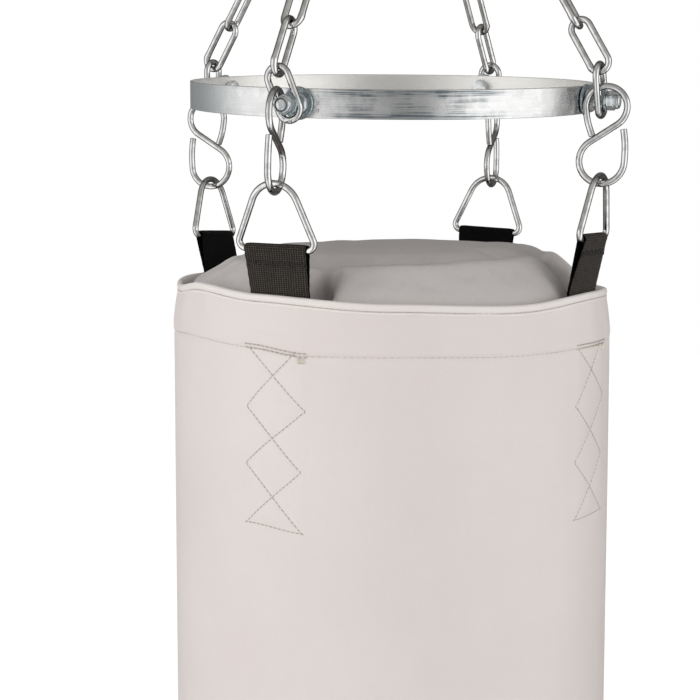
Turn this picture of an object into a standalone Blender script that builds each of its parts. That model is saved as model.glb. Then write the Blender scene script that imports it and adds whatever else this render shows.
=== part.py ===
"""A round punching bag that hangs from a ceiling hook by a ball-bearing swivel, four chains
and a steel spreader ring.

Metres, +Z up. The origin is where the ceiling hook bears inside the swivel's eye. The bag
hangs below it on the Z axis, and -Y is the front. Azimuths are counted from the front
towards -X, so the four hanging stations run round the bag clockwise as seen from above.
"""

from math import acos, asin, atan2, ceil, cos, hypot, pi, radians, sin, sqrt

import bmesh
import bpy
from mathutils import Matrix, Vector

# Clearance between two pieces that touch on the real bag.
GAP = 0.0003

# Bag.
BAG_RADIUS = 0.1747
BAG_LENGTH = 1.2
SHELL_WALL = 0.002
RIM_RADIUS = BAG_RADIUS - 0.0032
HEM_DROP = 0.0355
BINDING_HEIGHT = 0.0055
BINDING_WALL = 0.0008
BASE_THICKNESS = 0.004
COVER_RISE = 0.034
COVER_DEPTH = 0.045

# Webbing straps.
WEBBING_WIDTH = 0.05
WEBBING_PLY = 0.0014
STRAP_TAIL = 0.174
STRAP_ABOVE_RIM = 0.035
STRAP_LEAN_RADIUS = BAG_RADIUS - 0.0022

# Spreader ring and the bolts through it.
BAND_RADIUS = BAG_RADIUS - 0.0147
BAND_THICKNESS = 0.003
BAND_HEIGHT = 0.0212
BAND_PITCH = radians(4.0)
BAND_ROLL = radians(0.4)
BOLT_RADIUS = 0.0039
BOLT_HOLE_RADIUS = BOLT_RADIUS + 0.0004
BOLT_TIP = 0.0005
HEAD_HEIGHT = 0.0053
HEX_RADIUS = BOLT_RADIUS + 0.0036
BIG_WASHER_RADIUS = BOLT_RADIUS + 0.0081
BIG_WASHER_THICKNESS = 0.002
FLANGE_RADIUS = BOLT_RADIUS + 0.0039
FLANGE_THICKNESS = 0.0014
CLAMP_NUT_HEIGHT = 0.008
SMALL_WASHER_RADIUS = BOLT_RADIUS + 0.0036
SMALL_WASHER_THICKNESS = 0.0016
LOCK_HEX_HEIGHT = 0.0057
LOCK_COLLAR_HEIGHT = 0.0033
LOCK_COLLAR_RADIUS = BOLT_RADIUS + 0.0024
LINK_PLAY = 0.0008

# Bent wire: chain links, hooks and triangle rings all come from one wire size.
WIRE = 0.005
LINK_PITCH = 0.0385
LINK_INNER_WIDTH = 2 * WIRE
LINK_WELD = 0.0009
END_LINK_PITCH = 0.035
END_LINK_INNER_WIDTH = 2 * (BOLT_RADIUS + WIRE) - 0.0058
HOOK_TOP_BEND = 0.013 + WIRE / 2
HOOK_LOW_BEND = 0.0145 + WIRE / 2
HOOK_BEND_DISTANCE = 0.0403
HOOK_LEAN = 0.0029
HOOK_TWIST = radians(-12)
FRONT_HOOK_SWAY = radians(2.3)
TRIANGLE_WIDTH = WEBBING_WIDTH + 0.016
TRIANGLE_HEIGHT = 0.0527
TRIANGLE_TWIST = radians(-4)
FRONT_TRIANGLE_ROLL = radians(3.3)
TRIANGLE_CORNER = 0.0027 + WIRE / 2
TRIANGLE_PEAK = 0.0195

# From the master ring down to the spreader ring's middle, and from there to the bag's rim.
CHAIN_DROP = 0.3114
RIM_BELOW_RING = BOLT_RADIUS + 0.1488

# Swivel and master ring.
EYE_BORE = 0.012
EYE_WIRE = 0.008
STEM_RADIUS = 0.004
HUB_RADIUS = 0.012
HUB_HEIGHT = 0.012
HUB_GAP = 0.002
BOW_INNER_WIDTH = 0.027
BOW_WIRE = 0.008
RACE_RADIUS = 0.0095
RACE_THICKNESS = 0.0022
BALL_RADIUS = 0.002
BALL_CIRCLE = 0.0069
BALL_COUNT = 8
STEM_NUT_HEIGHT = 0.0065
STEM_END = 0.0014
STEM_TO_RING = 0.0065
MASTER_RADIUS = 0.025
MASTER_WIRE = 0.008

# Stations: strap azimuth, hook azimuth, bolt azimuth and how the end link hangs. At the two
# front stations the ring's bolt has pushed the end link over, and the hook bears on its side.
STRAP_AZIMUTH = radians(29.3)
QUARTER = pi / 2
FRONT_BOLT_ASIDE = 0.0128456
FRONT_HOOK_PLAY = 0.0005813
FRONT_HOOK_ASIDE = FRONT_BOLT_ASIDE - BOLT_RADIUS - WIRE / 2 - FRONT_HOOK_PLAY
FRONT_HOOK_SHIFT = -FRONT_HOOK_ASIDE / BAND_RADIUS
FRONT_BOLT_SHIFT = -FRONT_BOLT_ASIDE / BAND_RADIUS
BACK_HOOK_SHIFT = radians(0.4)
FRONT_LINK_TILT = radians(20.5)
FRONT_LINK_REACH = 0.0288
FRONT_LINK_SHIFT = 0.0018
FRONT_HOOK_BELOW_BOLT = 0.0052
STATIONS = ("front_left", "back_left", "back_right", "front_right")
TILTED = ("front_left", "front_right")
MASTER_SEATS = {
    "front_left": radians(-32),
    "front_right": radians(-15),
    "back_left": radians(15),
    "back_right": radians(32),
}

# Facets.
WIRE_SIDES = 8
CHAIN_SIDES = 6
CHAIN_STEP = radians(45)
ROUND_STEPS = 20
RING_STEPS = 56
BAG_STEPS = 48
ARC_STEP = radians(30)

DOWN = Vector((0, 0, -1))
UP = Vector((0, 0, 1))


def collection(name):
    made = bpy.data.collections.new(name)
    bpy.context.scene.collection.children.link(made)
    return made


def material(name, color, roughness, metallic=0.0):
    made = bpy.data.materials.new(name)
    made.use_nodes = True
    shader = made.node_tree.nodes["Principled BSDF"]
    shader.inputs["Base Color"].default_value = (*color, 1)
    shader.inputs["Roughness"].default_value = roughness
    shader.inputs["Metallic"].default_value = metallic
    made.diffuse_color = (*color, 1)
    return made


def add(name, mesh, finish, matrix=Matrix.Identity(4)):
    """An object named for its piece, smooth where it is round."""
    made = bpy.data.objects.new(name, mesh)
    made.matrix_world = matrix
    PART.objects.link(made)
    if not mesh.materials:
        mesh.materials.append(finish)
    mesh.shade_smooth()
    mesh.set_sharp_from_angle(angle=radians(35))
    return made


def evaluated_mesh(source):
    """The object's mesh with its modifiers and its place applied, its loose caps welded."""
    bpy.context.view_layer.update()
    seen = source.evaluated_get(bpy.context.evaluated_depsgraph_get())
    mesh = bpy.data.meshes.new_from_object(seen)
    mesh.transform(source.matrix_world)
    grid = bmesh.new()
    grid.from_mesh(mesh)
    bmesh.ops.remove_doubles(grid, verts=grid.verts, dist=1e-6)
    grid.to_mesh(mesh)
    grid.free()
    return mesh


def helper(name, mesh):
    made = bpy.data.objects.new(name, mesh)
    CUTTERS.objects.link(made)
    made.hide_render = True
    made.display_type = "WIRE"
    return made


def combined(name, base, tools, operation):
    """The base mesh joined with, or cut by, each tool mesh in turn."""
    body = helper(name, base)
    for number, tool in enumerate(tools):
        cutter = helper(f"{name}_tool_{number}", tool)
        change = body.modifiers.new("change", "BOOLEAN")
        change.operation = operation
        change.object = cutter
    mesh = evaluated_mesh(body)
    for old in [o for o in CUTTERS.objects if o.name.startswith(name)]:
        bpy.data.objects.remove(old)
    return mesh


def prism(radius, low, high, sides, turn=0.0, top_radius=None):
    """A straight prism or cone about Z, from low to high."""
    grid = bmesh.new()
    bmesh.ops.create_cone(
        grid,
        cap_ends=True,
        segments=sides,
        radius1=radius,
        radius2=radius if top_radius is None else top_radius,
        depth=high - low,
        matrix=Matrix.Translation((0, 0, (low + high) / 2)) @ Matrix.Rotation(turn, 4, "Z"),
    )
    mesh = bpy.data.meshes.new("prism")
    grid.to_mesh(mesh)
    grid.free()
    return mesh


def wire_mesh(points, radius, closed, sides=WIRE_SIDES):
    """A round wire bent along the points."""
    curve = bpy.data.curves.new("wire", "CURVE")
    curve.dimensions = "3D"
    curve.bevel_depth = radius
    curve.bevel_resolution = sides // 2 - 2
    curve.use_fill_caps = not closed
    line = curve.splines.new("POLY")
    line.points.add(len(points) - 1)
    for spot, point in zip(line.points, points):
        spot.co = (*point, 1)
    line.use_cyclic_u = closed
    bent = bpy.data.objects.new("wire", curve)
    CUTTERS.objects.link(bent)
    mesh = evaluated_mesh(bent)
    bpy.data.objects.remove(bent)
    return mesh


def arc(center, radius, start, end, across, up, step=ARC_STEP):
    """Points on an arc in the plane of two directions, angles counted from across to up."""
    count = max(2, ceil(abs(end - start) / step))
    angles = [start + (end - start) * i / count for i in range(count + 1)]
    return [center + across * (radius * cos(a)) + up * (radius * sin(a)) for a in angles]


def turned(name, profile, finish, steps, matrix=Matrix.Identity(4), place=True):
    """A closed profile of (radius, height) points, outer side top to bottom, spun about Z."""
    mesh = bpy.data.meshes.new(name)
    count = len(profile)
    mesh.from_pydata(
        [(r, 0, z) for r, z in profile], [(i, (i + 1) % count) for i in range(count)], []
    )
    spun = bpy.data.objects.new(name, mesh)
    CUTTERS.objects.link(spun)
    screw = spun.modifiers.new("spin", "SCREW")
    screw.steps = screw.render_steps = steps
    screw.use_merge_vertices = True
    screw.merge_threshold = 0.00005
    solid = evaluated_mesh(spun)
    bpy.data.objects.remove(spun)
    if not place:
        return solid
    return add(name, solid, finish, matrix)


def frame_of(out, side, up, place):
    """The matrix whose X, Y and Z are the given directions and whose origin is the place."""
    turn = Matrix((out, side, up)).transposed().to_4x4()
    return Matrix.Translation(place) @ turn


def station(azimuth, radius=0.0, height=0.0):
    """Out from the axis, sideways towards a smaller azimuth, and up."""
    out = Vector((-sin(azimuth), -cos(azimuth), 0))
    side = Vector((cos(azimuth), -sin(azimuth), 0))
    return frame_of(out, side, UP, out * radius + UP * height)


def link_points(start, along, across, length, inner_width=LINK_INNER_WIDTH, step=CHAIN_STEP):
    """The middle of a link's wire, from one rounded end to the other."""
    bend = (inner_width + WIRE) / 2
    first = start + along * bend
    last = start + along * (length - bend)
    near = arc(first, bend, 0, -pi, across, along, step)
    return near + arc(last, bend, pi, 0, across, along, step)


# Heights that follow from the sizes above, counted down from the hook's bearing point.
EYE_CENTER = -EYE_BORE
HUB_TOP = -2 * EYE_BORE - EYE_WIRE - HUB_GAP
HUB_BOTTOM = HUB_TOP - HUB_HEIGHT
UPPER_RACE = HUB_BOTTOM - GAP
BALL_TOP = UPPER_RACE - RACE_THICKNESS - GAP
LOWER_RACE = BALL_TOP - 2 * BALL_RADIUS - GAP
STEM_NUT = LOWER_RACE - RACE_THICKNESS - GAP
STEM_BOTTOM = STEM_NUT - STEM_NUT_HEIGHT - STEM_END
MASTER_TOP = STEM_BOTTOM - STEM_TO_RING - MASTER_WIRE / 2
BOW_BOTTOM = MASTER_TOP - (MASTER_WIRE + BOW_WIRE) / 2 - GAP
MASTER_CENTER = MASTER_TOP - MASTER_RADIUS
BAND_CENTER = MASTER_CENTER - MASTER_RADIUS - CHAIN_DROP
RIM_HEIGHT = BAND_CENTER - RIM_BELOW_RING
HEM_HEIGHT = RIM_HEIGHT - HEM_DROP
BASE_HEIGHT = RIM_HEIGHT - BAG_LENGTH
BAR_HEIGHT = RIM_HEIGHT + STRAP_ABOVE_RIM
TRIANGLE_TOP = BAR_HEIGHT + TRIANGLE_HEIGHT - WIRE

# Places along a ring bolt, counted out from the band's outer face.
WASHER_SEAT = GAP
CLAMP_SEAT = WASHER_SEAT + BIG_WASHER_THICKNESS + GAP
LINK_MIDDLE = CLAMP_SEAT + CLAMP_NUT_HEIGHT + LINK_PLAY + WIRE / 2
OUTER_SEAT = LINK_MIDDLE + WIRE / 2 + GAP + LINK_PLAY / 8
LOCK_SEAT = OUTER_SEAT + SMALL_WASHER_THICKNESS + GAP
BOLT_END = LOCK_SEAT + LOCK_HEX_HEIGHT + LOCK_COLLAR_HEIGHT + BOLT_TIP

# The hook hangs outside the band, clear of the big washer.
HOOK_RADIUS = (
    BAND_RADIUS + CLAMP_SEAT + WIRE / 2 + HOOK_TOP_BEND * cos(HOOK_TWIST)
)
LINK_RADIUS = BAND_RADIUS + LINK_MIDDLE
HOOK_REACH = HOOK_TOP_BEND - WIRE - 2 * GAP


def build_swivel(zinc, steel):
    """The eye and its stem turn on a thrust bearing inside the bow."""
    side, out = Vector((0, 1, 0)), Vector((1, 0, 0))
    eye = arc(Vector((0, 0, EYE_CENTER)), EYE_BORE + EYE_WIRE / 2, 0, 2 * pi, side, UP, radians(22.5))
    loop = wire_mesh(eye[:-1], EYE_WIRE / 2, True)
    stem_top = EYE_CENTER - EYE_BORE - EYE_WIRE / 2
    stem = prism(STEM_RADIUS, STEM_BOTTOM, stem_top, 16)
    add("swivel_eye", combined("swivel_eye_work", loop, [stem], "UNION"), zinc)

    turned("swivel_lower_race", race_profile(LOWER_RACE), steel, ROUND_STEPS)
    turned("swivel_upper_race", race_profile(UPPER_RACE), steel, ROUND_STEPS)
    nut = prism(HEX_RADIUS, STEM_NUT - STEM_NUT_HEIGHT, STEM_NUT, 6)
    add("swivel_stem_nut", bored("stem_nut", nut, STEM_RADIUS, STEM_NUT - STEM_NUT_HEIGHT, STEM_NUT), zinc)

    middle = BALL_TOP - BALL_RADIUS
    cage = turned(
        "cage",
        rectangle(BALL_CIRCLE + BALL_RADIUS / 2, BALL_CIRCLE - BALL_RADIUS / 2,
                  middle + BALL_RADIUS / 3, middle - BALL_RADIUS / 3),
        None, ROUND_STEPS, place=False,
    )
    balls = []
    for number in range(BALL_COUNT):
        turn = 2 * pi * number / BALL_COUNT
        grid = bmesh.new()
        place = Matrix.Translation((BALL_CIRCLE * cos(turn), BALL_CIRCLE * sin(turn), middle))
        bmesh.ops.create_uvsphere(grid, u_segments=8, v_segments=6, radius=BALL_RADIUS, matrix=place)
        ball = bpy.data.meshes.new("ball")
        grid.to_mesh(ball)
        grid.free()
        balls.append(ball)
    add("swivel_ball_cage", combined("cage_work", cage, balls, "UNION"), steel)

    half = (BOW_INNER_WIDTH + BOW_WIRE) / 2
    shoulder = (HUB_TOP + HUB_BOTTOM) / 2
    bend = Vector((0, 0, BOW_BOTTOM + half))
    path = [Vector((-HUB_RADIUS / 2, 0, shoulder)), Vector((-half + BOW_WIRE / 4, 0, shoulder))]
    path += [Vector((-half, 0, shoulder - BOW_WIRE / 4))]
    path += arc(bend, half, pi, 2 * pi, out, UP)
    path += [Vector((half, 0, shoulder - BOW_WIRE / 4))]
    path += [Vector((half - BOW_WIRE / 4, 0, shoulder)), Vector((HUB_RADIUS / 2, 0, shoulder))]
    legs = wire_mesh(path, BOW_WIRE / 2, False)
    hub = prism(HUB_RADIUS, HUB_BOTTOM, HUB_TOP, ROUND_STEPS)
    bow = combined("bow_work", hub, [legs], "UNION")
    bore = prism(STEM_RADIUS + 2 * GAP, HUB_BOTTOM - WIRE, HUB_TOP + WIRE, 16)
    add("swivel_bow", combined("bow_bore", bow, [bore], "DIFFERENCE"), zinc)


def rectangle(outer, inner, top, bottom):
    return [(outer, top), (outer, bottom), (inner, bottom), (inner, top)]


def race_profile(top):
    return rectangle(RACE_RADIUS, STEM_RADIUS + 2 * GAP, top, top - RACE_THICKNESS)


def bored(name, body, shank, low, high):
    """A nut's body with its threaded hole, kept clear of the shank by the gap."""
    bore = prism(shank + 2 * GAP, low - WIRE, high + WIRE, 16)
    return combined(name, body, [bore], "DIFFERENCE")


def build_master_ring(zinc):
    center = Vector((0, 0, MASTER_CENTER))
    loop = arc(center, MASTER_RADIUS, 0, 2 * pi, Vector((0, 1, 0)), UP, radians(10))
    add("master_ring", wire_mesh(loop[:-1], MASTER_WIRE / 2, True), zinc)


def band_frame():
    turn = Matrix.Rotation(BAND_PITCH, 4, "X") @ Matrix.Rotation(BAND_ROLL, 4, "Y")
    return Matrix.Translation((0, 0, BAND_CENTER)) @ turn


def bolt_azimuth(name):
    shift = FRONT_BOLT_SHIFT if name in TILTED else BACK_HOOK_SHIFT
    return STRAP_AZIMUTH + STATIONS.index(name) * QUARTER + shift


def bolt_frame(name):
    """The bolt's own frame: out along the bolt, from the band's outer face."""
    return band_frame() @ station(bolt_azimuth(name), BAND_RADIUS)


def hook_azimuth(name):
    shift = FRONT_HOOK_SHIFT if name in TILTED else BACK_HOOK_SHIFT
    return STRAP_AZIMUTH + STATIONS.index(name) * QUARTER + shift


def hook_height(name):
    """The middle of the hook's upper bend: a front hook is wedged beside the bolt's nut."""
    if name in TILTED:
        return (bolt_frame(name) @ Vector((LINK_MIDDLE, 0, 0))).z - FRONT_HOOK_BELOW_BOLT
    return TRIANGLE_TOP - WIRE - GAP + HOOK_LOW_BEND + HOOK_BEND_DISTANCE


def hook_frame(name):
    """The hook's own frame at the middle of its upper bend: X outwards in its plane, Z up it."""
    place = station(hook_azimuth(name), HOOK_RADIUS, hook_height(name))
    sway = -FRONT_HOOK_SWAY if name in TILTED else 0
    return place @ Matrix.Rotation(-HOOK_TWIST, 4, "Z") @ Matrix.Rotation(sway, 4, "X")


def hook_seat(name):
    """How high the middle of the end link's wire lies inside the hook's upper bend."""
    inward = HOOK_RADIUS - LINK_RADIUS
    rise = sqrt(HOOK_REACH**2 - (inward / cos(HOOK_TWIST)) ** 2)
    return hook_frame(name).translation.z + rise


def end_link_ends(name):
    """The end link's top, its direction and its width direction, on the bolt by its washer."""
    bolt = bolt_frame(name)
    out, up = bolt.to_3x3() @ Vector((1, 0, 0)), bolt.to_3x3() @ UP
    middle = bolt @ Vector((LINK_MIDDLE, 0, 0))
    if name in TILTED:
        level = UP.cross(out).normalized()
        along = level * sin(FRONT_LINK_TILT) - out.cross(level) * cos(FRONT_LINK_TILT)
        top = middle - along * FRONT_LINK_REACH + along.cross(out) * FRONT_LINK_SHIFT
    else:
        along = -up
        low = (hook_seat(name) - middle.z) / up.z
        top = middle + up * (low + END_LINK_PITCH + WIRE)
    return top, along, along.cross(out).normalized()


def build_spreader(galvanised):
    low, high = -BAND_HEIGHT / 2, BAND_HEIGHT / 2
    inner = BAND_RADIUS - BAND_THICKNESS
    edge = BAND_THICKNESS / 6
    profile = [
        (BAND_RADIUS - edge, high), (BAND_RADIUS, high - edge), (BAND_RADIUS, low + edge),
        (BAND_RADIUS - edge, low), (inner + edge, low), (inner, low + edge),
        (inner, high - edge), (inner + edge, high),
    ]
    band = turned("band", profile, None, RING_STEPS, place=False)
    holes = []
    for name in STATIONS:
        hole = prism(BOLT_HOLE_RADIUS, -WIRE, WIRE, 16)
        hole.transform(station(bolt_azimuth(name), BAND_RADIUS) @ Matrix.Rotation(QUARTER, 4, "Y"))
        holes.append(hole)
    drilled = combined("band_work", band, holes, "DIFFERENCE")
    add("spreader_ring", drilled, galvanised, band_frame())


def build_bolts(zinc):
    """Bolt, big washer, clamping nut, small washer and lock nut at each station."""
    shank_bore = BOLT_HOLE_RADIUS
    flange_end = CLAMP_SEAT + FLANGE_THICKNESS
    for name in STATIONS:
        place = bolt_frame(name) @ Matrix.Rotation(QUARTER, 4, "Y")
        head_end = -BAND_THICKNESS - 2 * GAP - band_sagitta(HEX_RADIUS)
        head = prism(HEX_RADIUS, head_end - HEAD_HEIGHT, head_end, 6)
        shank = prism(BOLT_RADIUS, head_end - HEAD_HEIGHT / 2, BOLT_END, 16)
        add(f"ring_bolt_{name}", combined("bolt_work", head, [shank], "UNION"), zinc, place)
        turned(f"ring_washer_{name}", rectangle(BIG_WASHER_RADIUS, shank_bore,
               WASHER_SEAT + BIG_WASHER_THICKNESS, WASHER_SEAT), zinc, ROUND_STEPS, place)
        flange = prism(FLANGE_RADIUS, CLAMP_SEAT, flange_end, ROUND_STEPS)
        low, high = flange_end - FLANGE_THICKNESS / 2, CLAMP_SEAT + CLAMP_NUT_HEIGHT
        body = prism(HEX_RADIUS, low, high, 6, QUARTER)
        nut = combined("clamp_work", flange, [body], "UNION")
        add(f"clamp_nut_{name}", bored("clamp_bore", nut, BOLT_RADIUS, CLAMP_SEAT, BOLT_END), zinc, place)
        turned(f"link_washer_{name}", rectangle(SMALL_WASHER_RADIUS, shank_bore,
               OUTER_SEAT + SMALL_WASHER_THICKNESS, OUTER_SEAT), zinc, ROUND_STEPS, place)
        hexagon = prism(HEX_RADIUS, LOCK_SEAT, LOCK_SEAT + LOCK_HEX_HEIGHT, 6, QUARTER)
        collar = prism(LOCK_COLLAR_RADIUS, LOCK_SEAT + LOCK_HEX_HEIGHT / 2,
                       LOCK_SEAT + LOCK_HEX_HEIGHT + LOCK_COLLAR_HEIGHT, ROUND_STEPS)
        lock = combined("lock_work", hexagon, [collar], "UNION")
        add(f"lock_nut_{name}", bored("lock_bore", lock, BOLT_RADIUS, LOCK_SEAT, BOLT_END), zinc, place)


def band_sagitta(half_width):
    """How far the band's curve leaves a flat face of that half width."""
    inner = BAND_RADIUS - BAND_THICKNESS
    return inner - sqrt(inner**2 - half_width**2)


def build_chains(zinc):
    """Each chain runs straight from the master ring to its end link, quarter turn by link."""
    for name in STATIONS:
        top, along, across = end_link_ends(name)
        bend = (END_LINK_INNER_WIDTH + WIRE) / 2
        bent = link_points(top, along, across, END_LINK_PITCH + WIRE, END_LINK_INNER_WIDTH, ARC_STEP)
        add(f"end_link_{name}", wire_mesh(bent, WIRE / 2, True), zinc)

        swing = MASTER_SEATS[name]
        seat = Vector((0, MASTER_RADIUS * sin(swing), MASTER_CENTER - MASTER_RADIUS * cos(swing)))
        tangent = Vector((0, cos(swing), sin(swing)))
        middle = top + along * bend
        reach = middle - seat
        level = (along * reach.dot(along) + across * reach.dot(across)).normalized()
        held = middle - level * bend
        across = across * level.dot(along) - along * level.dot(across)
        pull = (held - seat).normalized()
        first = seat - pull * ((MASTER_WIRE + WIRE) / 2 + 2 * GAP)
        last = held + pull * (WIRE + 3 * GAP)
        span = (last - first).length - WIRE + LINK_WELD
        count = round(span / LINK_PITCH)
        pitch = span / count
        start_normal = (tangent - pull * tangent.dot(pull)).normalized()
        end_normal = (across - pull * across.dot(pull)).normalized()
        turn = atan2(start_normal.cross(end_normal).dot(pull), start_normal.dot(end_normal))
        quarters = round((turn - (count - 1) * QUARTER) / QUARTER / 2) * 2
        spare = turn - (count - 1) * QUARTER - quarters * QUARTER
        step = QUARTER + spare / (count - 1)
        links = []
        for number in range(count):
            normal = Matrix.Rotation(step * number, 3, pull) @ start_normal
            start = first + pull * (pitch * number)
            bent = link_points(start, pull, normal.cross(pull), pitch + WIRE - LINK_WELD)
            links.append(wire_mesh(bent, WIRE / 2, True, CHAIN_SIDES))
        add(f"chain_{name}", combined("chain_work", links[0], links[1:], "UNION"), zinc)


def hook_points():
    """The S in its own plane: X outwards, Z up, from the middle of the upper bend."""
    out = Vector((1, 0, 0))
    low = Vector((-HOOK_LEAN, 0, -HOOK_BEND_DISTANCE))
    slope = acos((HOOK_TOP_BEND + HOOK_LOW_BEND) / low.length)
    heading = atan2(low.z, low.x)
    leave = heading + slope
    upper = arc(Vector((0, 0, 0)), HOOK_TOP_BEND, pi, leave, out, UP, radians(28))
    lower = arc(low, HOOK_LOW_BEND, leave + pi, 2 * pi, out, UP, radians(28))
    upper_tip = Vector((-HOOK_TOP_BEND * 0.66, 0, -HOOK_TOP_BEND * 1.4))
    lower_tip = low + Vector((HOOK_LOW_BEND * 0.94, 0, HOOK_LOW_BEND * 1.4))
    return [upper_tip, *upper, *lower, lower_tip]


def build_hooks(zinc):
    for name in STATIONS:
        add(f"s_hook_{name}", wire_mesh(hook_points(), WIRE / 2, False), zinc, hook_frame(name))


def strap_frame(name):
    return station(STRAP_AZIMUTH + STATIONS.index(name) * QUARTER)


def triangle_points(rise):
    """Flat base bar at the origin, rounded corners, sloping sides and a small round peak."""
    side = Vector((0, 1, 0))
    half = (TRIANGLE_WIDTH - WIRE) / 2 - TRIANGLE_CORNER
    peak = rise - TRIANGLE_PEAK
    reach = hypot(half, peak - TRIANGLE_CORNER)
    slope = atan2(peak - TRIANGLE_CORNER, half) + asin((TRIANGLE_PEAK - TRIANGLE_CORNER) / reach)
    right = Vector((0, half, TRIANGLE_CORNER))
    left = Vector((0, -half, TRIANGLE_CORNER))
    lean = QUARTER - slope
    points = arc(right, TRIANGLE_CORNER, -QUARTER, lean, side, UP)
    points += arc(Vector((0, 0, peak)), TRIANGLE_PEAK, lean, pi - lean, side, UP)
    points += arc(left, TRIANGLE_CORNER, pi - lean, 3 * QUARTER, side, UP)
    return points


def triangle_frame(name):
    """From the bar in the strap's fold: Y along the bar, Z to the inside of the hook's bend."""
    inside = -HOOK_BEND_DISTANCE - HOOK_LOW_BEND + WIRE + 4 * GAP
    bend = hook_frame(name) @ Vector((-HOOK_LEAN, 0, inside))
    bar = strap_frame(name) @ Vector((STRAP_LEAN_RADIUS, 0, 0))
    level = hypot(bend.x - bar.x, bend.y - bar.y)
    bar.z = bend.z - sqrt((TRIANGLE_HEIGHT - WIRE) ** 2 - level**2)
    up = (bend - bar).normalized()
    turn = Matrix.Rotation(-TRIANGLE_TWIST, 3, "Z")
    side = strap_frame(name).to_3x3() @ turn @ Vector((0, 1, 0))
    side = (side - up * side.dot(up)).normalized()
    frame = frame_of(side.cross(up), side, up, bar)
    if name in TILTED:
        peak = Matrix.Translation((0, 0, TRIANGLE_HEIGHT - WIRE - TRIANGLE_PEAK))
        frame = frame @ peak @ Matrix.Rotation(FRONT_TRIANGLE_ROLL, 4, "X") @ peak.inverted()
    return frame


def build_triangles(zinc):
    for name in STATIONS:
        ring = wire_mesh(triangle_points(TRIANGLE_HEIGHT - WIRE), WIRE / 2, True)
        add(f"triangle_ring_{name}", ring, zinc, triangle_frame(name))


def build_straps(webbing):
    """Webbing folded over the triangle's bar, its two plies running down inside the shell."""
    thick = 2 * WEBBING_PLY
    half = WEBBING_WIDTH / 2
    room = RIM_RADIUS - SHELL_WALL - 2 * (BINDING_WALL + GAP)
    inside_rim = sqrt(room**2 - half**2) - 2 * GAP
    inside_shell = sqrt((BAG_RADIUS - SHELL_WALL) ** 2 - half**2) - 2 * GAP
    eye = WIRE / 2 + GAP
    collar = RIM_HEIGHT - BINDING_HEIGHT * 2
    tail = RIM_HEIGHT - STRAP_TAIL
    for name in STATIONS:
        below = RIM_HEIGHT + BINDING_HEIGHT
        turns = [radians(d) for d in range(-30, 211, 30)]
        wrap = [Vector((cos(a), sin(a))) * (eye + WEBBING_PLY) for a in turns]
        plies = [
            Vector(spot) for spot in (
                (inside_rim - thick, below), (inside_rim - thick, collar),
                (inside_shell - thick, HEM_HEIGHT), (inside_shell - thick, tail),
                (inside_shell, tail), (inside_shell, HEM_HEIGHT),
                (inside_rim, collar), (inside_rim, below),
            )
        ]
        hole = [Vector((cos(a), sin(a))) * eye for a in (radians(d) for d in range(0, 360, 30))]
        add(f"strap_{name}", strap_mesh(name, wrap, plies, hole, half), webbing)


def strap_mesh(name, wrap, plies, hole, half):
    """The fold follows the triangle's bar and the plies below it follow the bag."""
    fold, bag = triangle_frame(name), strap_frame(name)
    bar = Vector((STRAP_LEAN_RADIUS, BAR_HEIGHT))
    curve = bpy.data.curves.new("strap", "CURVE")
    curve.dimensions = "2D"
    curve.fill_mode = "BOTH"
    curve.extrude = half
    for ring in ([p + bar for p in wrap] + plies, [p + bar for p in hole]):
        line = curve.splines.new("POLY")
        line.points.add(len(ring) - 1)
        for spot, point in zip(line.points, ring):
            spot.co = (point.x, point.y, 0, 1)
        line.use_cyclic_u = True
    flat = bpy.data.objects.new("strap", curve)
    CUTTERS.objects.link(flat)
    mesh = evaluated_mesh(flat)
    bpy.data.objects.remove(flat)
    for vertex in mesh.vertices:
        radius, height, aside = vertex.co
        if (Vector((radius, height)) - bar).length < WIRE:
            vertex.co = fold @ Vector((radius - bar.x, aside, height - bar.y))
        else:
            vertex.co = bag @ Vector((radius, aside, height))
    mesh.flip_normals()
    return mesh


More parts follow.
